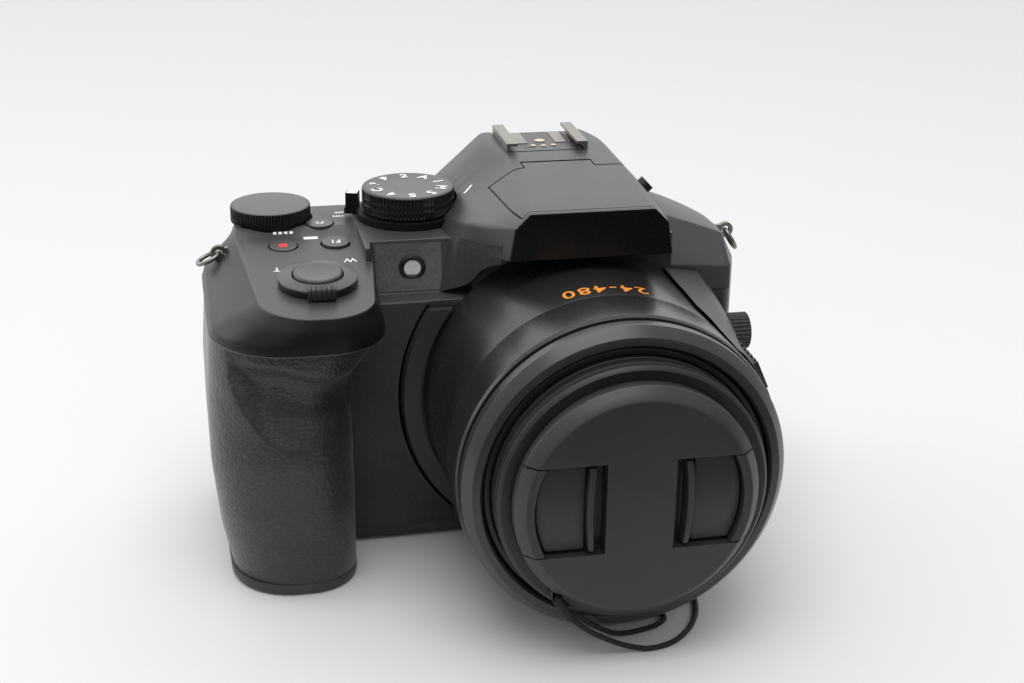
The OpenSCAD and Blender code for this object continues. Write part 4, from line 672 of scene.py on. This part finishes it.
GRIP_MIDDLE = (-68, -15)
GRIP_ROOT = 18.4
SWELL, SKIN_TUCK, SKIN_LAP, CORE_GAP = 0.35, 0.3, 0.12, 0.1
ARC_STEPS = 26


def grip_ring(left, inner, front, rear):
    """Outline of the grip at one height: from the inner wall at the front plate round the nose to the left
    side and back."""
    w = left - inner
    return rounded([[-inner, -GRIP_ROOT, 0], [-inner, -front, 0.4 * w], [-left, -front, 0.52 * w],
                    [-left, rear, 0]], ARC_STEPS)


def grip_skin():
    """Outside of the grip: rings of the outline stacked in height, drawn in where the fingers lie, with the
    hollow masked by a crease at its left and a lip that drops to the right; its inside is the plain core."""
    z = np.concatenate([np.linspace(GRIP_LOW, 34, 22), np.linspace(34.6, GRIP_HIGH, 64)])
    rings = np.stack([grip_ring(eased(h, GRIP_LEFT), eased(h, GRIP_INNER), eased(h, GRIP_FRONT), CORE_REAR)
                      for h in z])
    out = outward(rings, GRIP_MIDDLE)
    x, depth = rings[..., 0], -rings[..., 1]
    tall = np.broadcast_to(z[:, None], x.shape)
    drop = eased(x, LIP_DROP)
    crease = eased(tall, CREASE)
    mask = ease(x - crease, -0.5, 2.6) * ease(depth, 20, 33)
    sunk = eased(tall + drop * ease(tall, 40, 50), HOLLOW, 0.8) * mask
    beside = ease(x - crease, -6, -0.6) * (1 - ease(x - crease, -0.6, 1.2))
    swell = SWELL * beside * ease(tall, 42, 50) * ease(depth, 20, 30)
    facing = np.abs(out[..., 1]) ** 0.5
    outer = np.concatenate([rings + out * (swell - sunk * facing)[..., None], tall[..., None]], -1)
    turned_in = np.concatenate([-SKIN_TUCK * out, np.zeros_like(tall)[..., None]], -1)
    outer = np.concatenate([outer[:1] + turned_in[:1], outer, outer[-1:] + turned_in[-1:] + [0, 0, SKIN_LAP]])
    core = grip_ring(CORE_LEFT + CORE_GAP, CORE_INNER - CORE_GAP, CORE_FRONT + CORE_GAP, CORE_REAR)
    inner = np.concatenate([np.broadcast_to(core[None], outer.shape[:2] + (2,)), outer[..., 2:]], -1)
    loop = np.concatenate([outer, inner[::-1]]).transpose(1, 0, 2)
    return solid(loop)


piece("grip_skin", [grip_skin()], "camera_body", "grip", ["grip_rubber"], 60)

# Levels of the top cover's flank, each a rise above the seam and the sizes that top_ring names
RISE, LEAN = 0, 6
TOP_LEVELS = np.array([
    [0, 85.4, 85.1, 44.3, 46.5, 46.5, 3.2, 18, 13.5, 22.5],
    [2.5, 84.7, 84.2, 44.3, 46.5, 46.8, 2.72, 17.5, 13, 22.5],
    [5.5, 82.3, 80, 44.1, 46.5, 48, 1.92, 16, 12, 22.5],
    [8, 79.8, 74.5, 43.5, 46.5, 49.6, 1.34, 14, 10.5, 22.2],
    [10, 78.2, 70.8, 42.7, 46.6, 50.5, 0.9, 11.5, 9, 22],
    [15, 76.4, 67.4, 41, 46.8, 51.1, 0, 9, 7, 21.5]])

# Focus-assist lamp: its bezel, and the speckled plate that it stands in, whose light grey is painted light
# caught by the leaning panel
LAMP_LOW, LAMP_HIGH = (np.array(corner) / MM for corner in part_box("af_lamp"))
LAMP_AT = ((LAMP_LOW[0] + LAMP_HIGH[0]) / 2, LAMP_LOW[1], (LAMP_LOW[2] + LAMP_HIGH[2]) / 2)
bezel = spin(rounded([[2.0, -0.1, 0], [2.0, 0.12, 0.05], [2.5, 0.3, 0.15], [3.15, 0.1, 0.2],
                      [3.15, -0.6, 0]], 4), 64)
piece("lamp_bezel", [hoop(placed(bezel, LAMP_AT, *FACING_FRONT))], "camera_body", "lever")
LAMP_PANEL = 10
PLATE_LEFT, PLATE_RIGHT = -45.9, -30.2
PLATE_LOW, PLATE_HIGH = 62.6, 73.6
PLATE_PROUD, PLATE_SUNK = 0.07, 0.3


def lamp_plate():
    """Thin plate on the lamp panel: a grid in width and height at the depth of the leaning panel, closed
    behind."""
    x, z = np.meshgrid(np.linspace(PLATE_LEFT, PLATE_RIGHT, 9), np.linspace(PLATE_LOW, PLATE_HIGH, 17))
    depth = LAMP_PANEL + np.interp(z - SEAM_Z, TOP_LEVELS[:, RISE], TOP_LEVELS[:, LEAN])
    face, back = (np.stack([x, -depth - proud, z], -1) for proud in (PLATE_PROUD, -PLATE_SUNK))
    return solid(np.concatenate([face, back[:, ::-1]], 1))


piece("lamp_plate", [lamp_plate()], "camera_body", "plate")

# Skirt of the top cover: smooth flank with a rolled upper edge; the flank's paint, darker than the edge's
# satin, is painted shade
SKIRT_OUT, SKIRT_LOW, SKIRT_TUCK, SKIRT_WALL = 0.24, 0.14, 0.35, 0.7
CREST_ROLL, CREST_IN, CREST_LAP, CREST_ROW = 0.3, 1.6, 0.8, 16
BEAD_R, BEAD_OUT = 0.2, 0.1
BEND_R = 45
RAMP_FRONT, RAMP_REAR = 2, 6


def top_ring(rise):
    """Outline of the top cover's flank at a height above the seam, from the lamp panel round to the rear."""
    left, nose_left, front, right, nose_right, lean, r_left, r_right, rear = (
        eased(rise, TOP_LEVELS[:, [RISE, k]], 0.8) for k in range(1, 10))
    return rounded([[-right, -10.2 - lean, 0], [-nose_right, -front, r_right], [-nose_left, -front, r_left],
                    [-left, 4, BEND_R], [-left, rear, 12], [-30, rear, 0]], ARC_STEPS)


def deck_at(y):
    """Height of the deck at depth y: the sloping panel, a short ramp and the rear step."""
    ramp = np.interp(y, [RAMP_FRONT, RAMP_REAR], [panel_height(RAMP_FRONT), STEP_Z])
    return np.where(y < RAMP_FRONT, panel_height(y), ramp)


def top_skirt():
    """Flank and crest of the top cover as two smooth bands: the flank rises from the seam to the deck, and
    the crest rolls over with a small radius and closes inside the cover's wall."""
    rises = np.linspace(0, 14.4, 25)
    stack = np.stack([top_ring(r) for r in rises])
    crest = deck_at(stack[CREST_ROW, :, 1]) - SEAM_Z
    t = np.concatenate([[0.0, 0.012], np.linspace(0.03, 1, 22)])
    height = SKIRT_LOW + t[:, None] * (crest - CREST_ROLL - SKIRT_LOW)[None]
    step = height / (rises[1] - rises[0])
    low = np.clip(step.astype(int), 0, len(rises) - 2)
    part = (step - low)[..., None]
    j = np.arange(stack.shape[1])[None]
    flank = stack[low, j] * (1 - part) + stack[low + 1, j] * part
    out = outward(flank, GRIP_MIDDLE)
    foot = np.array([SKIRT_TUCK] + [0.0] * (len(t) - 1))
    wall = np.concatenate([flank + out * (SKIRT_OUT - foot)[:, None, None], SEAM_Z + height[..., None]], -1)
    a = np.linspace(0.2, np.pi / 2, 7)
    last, aim = flank[-1], out[-1]
    lift = (SEAM_Z + crest - CREST_ROLL)[None, :, None]
    bend = np.concatenate([last[None] + aim[None] * (SKIRT_OUT - CREST_ROLL * (1 - np.cos(a)))[:, None, None],
                           lift + (CREST_ROLL * np.sin(a))[:, None, None]], -1)
    top = bend[-1:] + np.concatenate([-aim[None] * (CREST_IN - CREST_ROLL),
                                      np.full((1, len(crest), 1), 0.02)], -1)
    under = top + [0, 0, -CREST_LAP]
    base = np.concatenate([flank[:1] - out[:1] * SKIRT_WALL, wall[:1, :, 2:]], -1)
    inner = np.concatenate([last[None] - aim[None] * SKIRT_WALL, wall[-1:, :, 2:]], -1)
    return [solid(np.concatenate(rows).transpose(1, 0, 2))
            for rows in ([wall, inner, base], [wall[-1:], bend, top, under])]


skirt_flank, skirt_crest = top_skirt()
# The flank in the darker paint is painted shade; the rolled edge keeps the satin of the panel
piece("top_skirt", [skirt_flank], "camera_body", "skirt", (), 40)
piece("skirt_crest", [skirt_crest], "camera_body", "satin", (), 40)
# Seam bead: a thin round bead along the foot of the skirt, whose lighter satin paint is a painted highlight
# along the seam
foot_line = top_ring(0)
foot_line = np.concatenate([foot_line + BEAD_OUT * outward(foot_line, GRIP_MIDDLE),
                            np.full((len(foot_line), 1), SEAM_Z + BEAD_R)], -1)
piece("seam_bead", [solid(tube_grid(foot_line, BEAD_R, 10))], "camera_body", "satin")

# Cap cord: the centre line of the route, in millimetres
CORD_D = 1.2
REST = CORD_D / 2
CORD_ROUTE = np.array([
    [-13.6, -79.6, 11.2], [-10.5, -79.4, 8.2], [-7, -79, 5.6], [-3, -78.6, 3.2], [1, -78.2, 1.4],
    [5.2, -78.2, REST], [10.6, -76.6, REST], [15.8, -71.8, REST], [19.4, -65.4, REST],
    [20.9, -58, REST], [19, -51, REST], [13.5, -47, REST], [7, -48.5, REST],
    [4.4, -54, REST], [6.6, -59.6, REST], [10.6, -63, REST], [11.6, -66.6, REST],
    [8.6, -69.4, REST], [3.8, -70.9, REST], [-1, -72.6, 1.6], [-5, -74.8, 4.4], [-8.8, -76.8, 7.8],
    [-12.4, -78.2, 11.4]])
cord_line = smooth_line(CORD_ROUTE, 8)
cord = piece("cap_cord_braid", [solid(tube_grid(cord_line, REST, 12))],
             "lens_cap", "cord", ["cap_cord"])

# Strap rings: wire loops longer than they are wide, through the eyes of the lugs
WIRE_R = 0.55
LOOP_LONG, LOOP_WIDE = 5.5, 4.7


def strap_loop(eye, down_deg, side):
    """Oval wire loop that starts in an eye and points outward, down by an angle."""
    turn = 2 * np.pi * np.arange(64) / 64
    reach = LOOP_LONG / 2 * (1 - np.cos(turn))
    wide = LOOP_WIDE / 2 * np.sign(np.sin(turn)) * np.abs(np.sin(turn)) ** 0.8
    a = math.radians(down_deg)
    way = np.array([side * math.cos(a), 0, -math.sin(a)])
    line = np.array(eye) + reach[:, None] * way + wide[:, None] * np.array([0, 1.0, 0])
    along = np.roll(line, -1, 0) - np.roll(line, 1, 0)
    along /= np.linalg.norm(along, axis=1, keepdims=True)
    up = np.cross(way, [0, 1.0, 0])
    level = np.cross(along, up)
    ring = 2 * np.pi * np.arange(12) / 12
    wire = np.cos(ring)[None, :, None] * level[:, None] + np.sin(ring)[None, :, None] * up
    return hoop(line[:, None] + WIRE_R * wire)


for end, eye, tilt, side in (("left", (-81.4, 6, 68.1), 25, -1), ("right", (45.6, 6, 67.4), 60, 1)):
    piece("strap_loop_" + end, [strap_loop(eye, tilt, side)], "strap_ring_" + end, "metal",
          ["strap_ring_" + end])

# Rubber patch beside the grip, on the front plate
PATCH_LOW, PATCH_HIGH, PATCH_LEFT, PATCH_RIGHT = 4.0, 62.0, -55.0, -28.5
PATCH_R, PATCH_Y, PATCH_THICK = 41.55, -18.48, 0.45


def front_patch():
    """Thin plate on the front cover: from under the grip's inner side to an arc round the lens collar, with
    a rounded edge."""
    z = np.linspace(PATCH_LOW, PATCH_HIGH, 60)
    arc = -np.sqrt(PATCH_R ** 2 - (z - LENS_Z) ** 2)
    right = np.stack([np.minimum(arc, PATCH_RIGHT), z], -1)
    outline = np.vstack([right, [[PATCH_LEFT, PATCH_HIGH], [PATCH_LEFT, PATCH_LOW]]])
    plate = prism(outline, soft_levels(0, PATCH_THICK, 0.3))
    return solid(placed(plate, (0, PATCH_Y, 0), *FACING_FRONT))


piece("front_patch", [front_patch()], "camera_body", "patch")

# Foot of the grip: smooth edge of the base plate
FOOT_OUT = 0.1


def foot_band():
    """Edge of the base plate round the foot of the grip: a band that rolls under at its lower edge."""
    rows = np.array([[0.75, 0.25], [0.32, 0.55], [0.08, 1.1], [0, 1.8], [0, 2.6], [0.1, 2.9], [0.35, 2.99],
                     [1.2, 2.99], [1.4, 0.5]])
    left, inner, front = 82.6, 53.94, 41.6
    w = left - inner
    path = rounded([[-inner, -GRIP_ROOT, 0], [-inner, -front, 0.4 * w], [-left, -front, 0.5 * w],
                    [-84.4, REAR_Y, 12], [-50, REAR_Y, 0]], ARC_STEPS)
    ring = path[:, None] + outward(path, GRIP_MIDDLE)[:, None] * (FOOT_OUT - rows[None, :, :1])
    rise = np.broadcast_to(rows[None, :, 1:], ring.shape[:2] + (1,))
    return solid(np.concatenate([ring, rise], -1))


piece("foot_band", [foot_band()], "camera_body", "body")

# Rear: eyecup and thumb rest
EYECUP_AT = (0, 31, 73)


def eye_ring():
    """Soft eyecup: a rounded frame whose outside swells towards its rim and whose inside is a funnel."""
    def ring(half_w, half_h, r, rise):
        flat = rounded([[half_w, -half_h, r], [half_w, half_h, r], [-half_w, half_h, r],
                        [-half_w, -half_h, r]], 10)
        return np.concatenate([flat, np.full((len(flat), 1), rise)], 1)
    rows = [(13.6, 10.6, 4, 0.02), (13.4, 10.4, 4, 1.6), (13.7, 10.7, 4.2, 3.6), (14, 11, 4.4, 5),
            (13.8, 10.8, 4.3, 5.7), (13.2, 10.2, 4, 6), (12.4, 9.4, 3.6, 5.9), (11.8, 8.8, 3.4, 5.2),
            (11.2, 8.2, 3.1, 2.5), (11, 8, 3, 0.02)]
    grid = np.stack([ring(*row) for row in rows])
    return hoop(placed(grid, EYECUP_AT, (-1, 0, 0), (0, 0, 1), (0, 1, 0)))


piece("eyecup_rubber", [eye_ring()], "camera_body", "patch", ["eyecup"])
thumb = rounded([[-84, 36, 4], [-65, 36, 4], [-65, 58, 4], [-84, 58, 4]], 10)
THUMB_LEVELS = [[0, 0.02], [0.3, 0.7], [0.8, 1.6], [1.5, 2.15], [2.6, 2.38], [4, 2.4]]
piece("thumb_pad", [solid(placed(prism(thumb, THUMB_LEVELS), (0, REAR_Y, 0), *FACING_REAR))],
      "camera_body", "grip", ["thumb_rest"])

# Printed marks
FONT_PER_HEIGHT = 1.4
INK_SUNK, INK_PROUD = 0.05, 0.03


def lettering(name, words, tall_mm, origin, u, v, body, paint, bold_mm=0.04, thick_mm=0.03, spacing=1.0):
    """Flat words as a thin solid: their middle lies at the origin, they read along u with their tops to v."""
    curve = bpy.data.curves.new(name, "FONT")
    curve.body = words
    curve.size = tall_mm * FONT_PER_HEIGHT * MM
    curve.align_x, curve.align_y = "CENTER", "CENTER"
    curve.extrude = thick_mm * MM / 2
    curve.offset = bold_mm * MM
    curve.space_character = spacing
    holder = bpy.data.objects.new(name + "_curve", curve)
    bpy.context.scene.collection.objects.link(holder)
    mesh = bpy.data.meshes.new_from_object(holder.evaluated_get(bpy.context.evaluated_depsgraph_get()))
    bpy.data.objects.remove(holder)
    mesh.name = name
    flat = np.empty(len(mesh.vertices) * 3)
    mesh.vertices.foreach_get("co", flat)
    u, v = np.array(u, float), np.array(v, float)
    flat = placed(flat.reshape(-1, 3), np.array(origin, float) * MM, u, v, np.cross(u, v))
    mesh.vertices.foreach_set("co", flat.ravel())
    mesh.materials.clear()
    return dress(mesh, name, body, paint, (), 40)


def flat_mark(name, outline, height, body, paint, frame_of=lambda g: g):
    """Thin flat mark of a plan outline at a height, moved by a placing function: print, or painted shade for
    the shoe's slots.
    """
    slab = prism(np.asarray(outline, float), [[0, height - INK_SUNK], [0, height + INK_PROUD]])
    return piece(name, [solid(frame_of(slab))], body, paint)


def bar_outline(at, size, turn=0.0):
    """Four corners of a small bar in plan, turned by an angle in degrees."""
    c, s = math.cos(math.radians(turn)), math.sin(math.radians(turn))
    w, h = size[0] / 2, size[1] / 2
    return [[at[0] + c * x - s * y, at[1] + s * x + c * y] for x, y in ((-w, -h), (w, -h), (w, h), (-w, h))]


def ring_outline(at, radius, n=24):
    """Points of a circle in plan."""
    t = 2 * np.pi * np.arange(n) / n
    return np.stack([at[0] + radius * np.cos(t), at[1] + radius * np.sin(t)], -1)


# Accessory shoe: spring plates on its floor and, in front of them, two flat dark marks that are painted shade
# where its slots are
SHOE_FLOOR = 88.6
SPRING_Y, SLOT_Y = 22.6, 14.4
for i, (x, wide, deep) in enumerate(((5.1, 3.0, 9.8), (7.6, 0.7, 9.4), (-5.1, 3.0, 9.8), (-7.6, 0.7, 9.4))):
    spring = prism(bar_outline((x, SPRING_Y), (wide, deep)),
                   soft_levels(SHOE_FLOOR - 0.05, SHOE_FLOOR + 0.22, 0.08))
    piece("shoe_spring_%d" % i, [solid(spring)], "camera_body", "metal")
# The slots are flat dark marks, painted shade in place of openings
for i, x in enumerate((-4.0, 8.1)):
    flat_mark("shoe_slot_shade_%d" % i, bar_outline((x, SLOT_Y), (2.2, 0.8)), SHOE_FLOOR, "camera_body", "tube")

# Numbers and letters round the mode dial, with their tops outward
DIAL_MARKS = "1A2B3C4S5M"
MARK_R, MARK_Z, MARK_TURN = 8.0, 82.16, 0.3
for i, sign in enumerate(DIAL_MARKS):
    a = 2 * np.pi * i / len(DIAL_MARKS) + MARK_TURN
    away = np.array([math.cos(a), math.sin(a), 0])
    lettering("dial_mark_%d" % i, sign, 2.6, np.array([*MODE_AT, MARK_Z]) + MARK_R * away,
              (away[1], -away[0], 0), away, "mode_dial", "white", 0.13)

# Marks on the deck read from behind the camera
FROM_BEHIND = ((-1, 0, 0), (0, -1, 0))
PANEL_V = (0, -math.cos(PANEL_TILT), -math.sin(PANEL_TILT))


def panel_words(name, words, tall_mm, x, y, body="camera_body", lift=0.02):
    """Words on the sloping panel, or on a button whose top lies a lift above it."""
    rise = np.array([0, -math.sin(PANEL_TILT), math.cos(PANEL_TILT)]) * lift
    lettering(name, words, tall_mm, np.array([x, y, panel_height(y)]) + rise, (-1, 0, 0), PANEL_V, body,
              "white")


panel_words("tele_mark", "T", 2.1, -69.0, -16.1)
panel_words("wide_mark", "W", 2.1, -51.9, -12.9)
panel_words("fn1_mark", "F1", 1.9, -54.2, -2.6, "fn1_button", 0.52)
lettering("fn2_mark", "F2", 1.5, (-56.9, 8.0, STEP_Z + 0.12), *FROM_BEHIND, "fn2_button", "white")
lettering("on_mark", "ON", 1.2, (-51.9, 12.7, STEP_Z + 0.02), *FROM_BEHIND, "camera_body", "white")
lettering("off_mark", "OFF", 1.2, (-51.1, 15.6, STEP_Z + 0.02), *FROM_BEHIND, "camera_body", "white")
range_mark = lettering("range_mark", "24-480", 3.9, (0, -48.1, 0), *FROM_BEHIND, "camera_body", "orange",
                       0.05, spacing=1.2)
BARREL_TOP = 35.82
MARK_STRETCH = 1.08


def wrap_on_barrel(made):
    """Bends a flat mark round the barrel: its x becomes an arc and its height is added to the radius."""
    flat = np.empty(len(made.data.vertices) * 3)
    made.data.vertices.foreach_get("co", flat)
    x, y, z = flat.reshape(-1, 3).T
    r = BARREL_TOP * MM
    turn = x * MARK_STRETCH / r
    bent = np.stack([(r + z) * np.sin(turn), y, LENS_Z * MM + (r + z) * np.cos(turn)], -1)
    made.data.vertices.foreach_set("co", bent.ravel())


wrap_on_barrel(range_mark)
RAMP_AT = (-68.0, 3.9, 72.96)
RAMP_AXES = ((1, 0, 0), (0, 0.944, 0.33), (0, -0.33, 0.944))
FRAME_MARK_AT = (-59.7, 1.3)
MOVIE_AT = (-66.5, -2.6)
INDEX_AT = (-20.96, 4.9, 81.38)
for i in range(4):
    flat_mark("wave_mark_%d" % i, bar_outline((1.3 * i, 0), (0.8, 0.9)), 0.03, "camera_body", "white",
              lambda g: placed(g, RAMP_AT, *RAMP_AXES))
flat_mark("frame_mark", bar_outline((0, 0), (3.4, 1.5)), 0, "camera_body", "white",
          lambda g: on_panel(g, FRAME_MARK_AT))
flat_mark("record_dot", ring_outline((0, 0), 1.15), 0.12, "movie_button", "red",
          lambda g: on_panel(g, MOVIE_AT))
LEVER_TURN = math.radians(163)
flat_mark("lever_mark", bar_outline((13.75, 0), (2.6, 2.6)), 80.0, "power_lever", "white",
          lambda g: placed(g, (*MODE_AT, 0), (math.cos(LEVER_TURN), math.sin(LEVER_TURN), 0),
                           (-math.sin(LEVER_TURN), math.cos(LEVER_TURN), 0)))
INDEX_ALONG = np.array([0.684, 0.551, 0.479])
INDEX_UP = np.array([-0.565, -0.02, 0.825])
flat_mark("index_mark", bar_outline((0, 0), (3.2, 0.75)), 0.06, "camera_body", "white",
          lambda g: placed(g, INDEX_AT, INDEX_ALONG, np.cross(INDEX_UP, INDEX_ALONG), INDEX_UP))

# Floor, light and background
floor_mesh = bpy.data.meshes.new("floor")
FLOOR_FRONT, FLOOR_BACK, FLOOR_SIDE = -0.16, 5.0, 4.0
floor_mesh.from_pydata([(-FLOOR_SIDE, FLOOR_FRONT, 0), (FLOOR_SIDE, FLOOR_FRONT, 0),
                        (FLOOR_SIDE, FLOOR_BACK, 0), (-FLOOR_SIDE, FLOOR_BACK, 0)], [], [(0, 1, 2, 3)])
floor = bpy.data.objects.new("floor", floor_mesh)
bpy.context.scene.collection.objects.link(floor)
floor_mesh.materials.append(finish("floor_paper", (0.7, 0.7, 0.7), 0.7, 2.0, 0.005, 0.01))


SEEN_LEVEL = 0.9


def studio_world():
    """Surround: bright behind, above and to the left, dim in front, near white where it is seen itself."""
    world = bpy.data.worlds.new("studio")
    bpy.context.scene.world = world
    world.use_nodes = True
    tree = world.node_tree
    g = Graph(tree)
    split = g.node("ShaderNodeSeparateXYZ")
    tree.links.new(tree.nodes["Texture Coordinate"].outputs["Generated"], split.inputs[0])
    x, y, z = split.outputs
    behind = g.span(y, -0.2, 0.7, 0.0, 1.25)
    above = g.span(z, 0.15, 0.95, 0.0, 0.5)
    beside = g.span(x, -0.35, -0.95, 0.0, 0.2)
    front = g.span(y, -0.1, -0.7, 0.0, 0.36)
    glow = g.join(g.join(g.join(g.join(behind, above), beside), front), 0.06)
    shown = g.join(glow, g.span(z, -0.08, 0.06, 0.05, 1.0), "MULTIPLY")
    path = g.node("ShaderNodeLightPath")
    seen = path.outputs["Is Camera Ray"]
    unseen = g.join(1.0, seen, "SUBTRACT")
    level = g.join(g.join(shown, unseen, "MULTIPLY"), g.join(seen, SEEN_LEVEL, "MULTIPLY"))
    sky = tree.nodes["Background"]
    sky.inputs["Color"].default_value = (1, 1, 1, 1)
    tree.links.new(level, sky.inputs["Strength"])


studio_world()


def softbox(name, at, size, power, aim=(0, 0, 0.04)):
    """Soft rectangular lamp that faces the camera body."""
    lamp = bpy.data.lights.new(name, "AREA")
    lamp.shape = "RECTANGLE"
    lamp.size, lamp.size_y = size
    lamp.energy = power
    holder = bpy.data.objects.new(name, lamp)
    bpy.context.scene.collection.objects.link(holder)
    away = np.array(at, float) - np.array(aim, float)
    back = away / np.linalg.norm(away)
    side = np.cross([0.0, 1.0, 0.0] if abs(back[2]) > 0.9 else [0.0, 0.0, 1.0], back)
    side /= np.linalg.norm(side)
    rise = np.cross(back, side)
    holder.matrix_world = Matrix([[side[i], rise[i], back[i], at[i]] for i in range(3)] + [[0, 0, 0, 1]])
    holder.visible_camera = False
    return holder


softbox("top_light", (-0.1, -0.2, 0.85), (0.7, 0.5), 3.5)
softbox("side_light", (-0.95, 0.3, 0.4), (0.6, 0.6), 1.6)
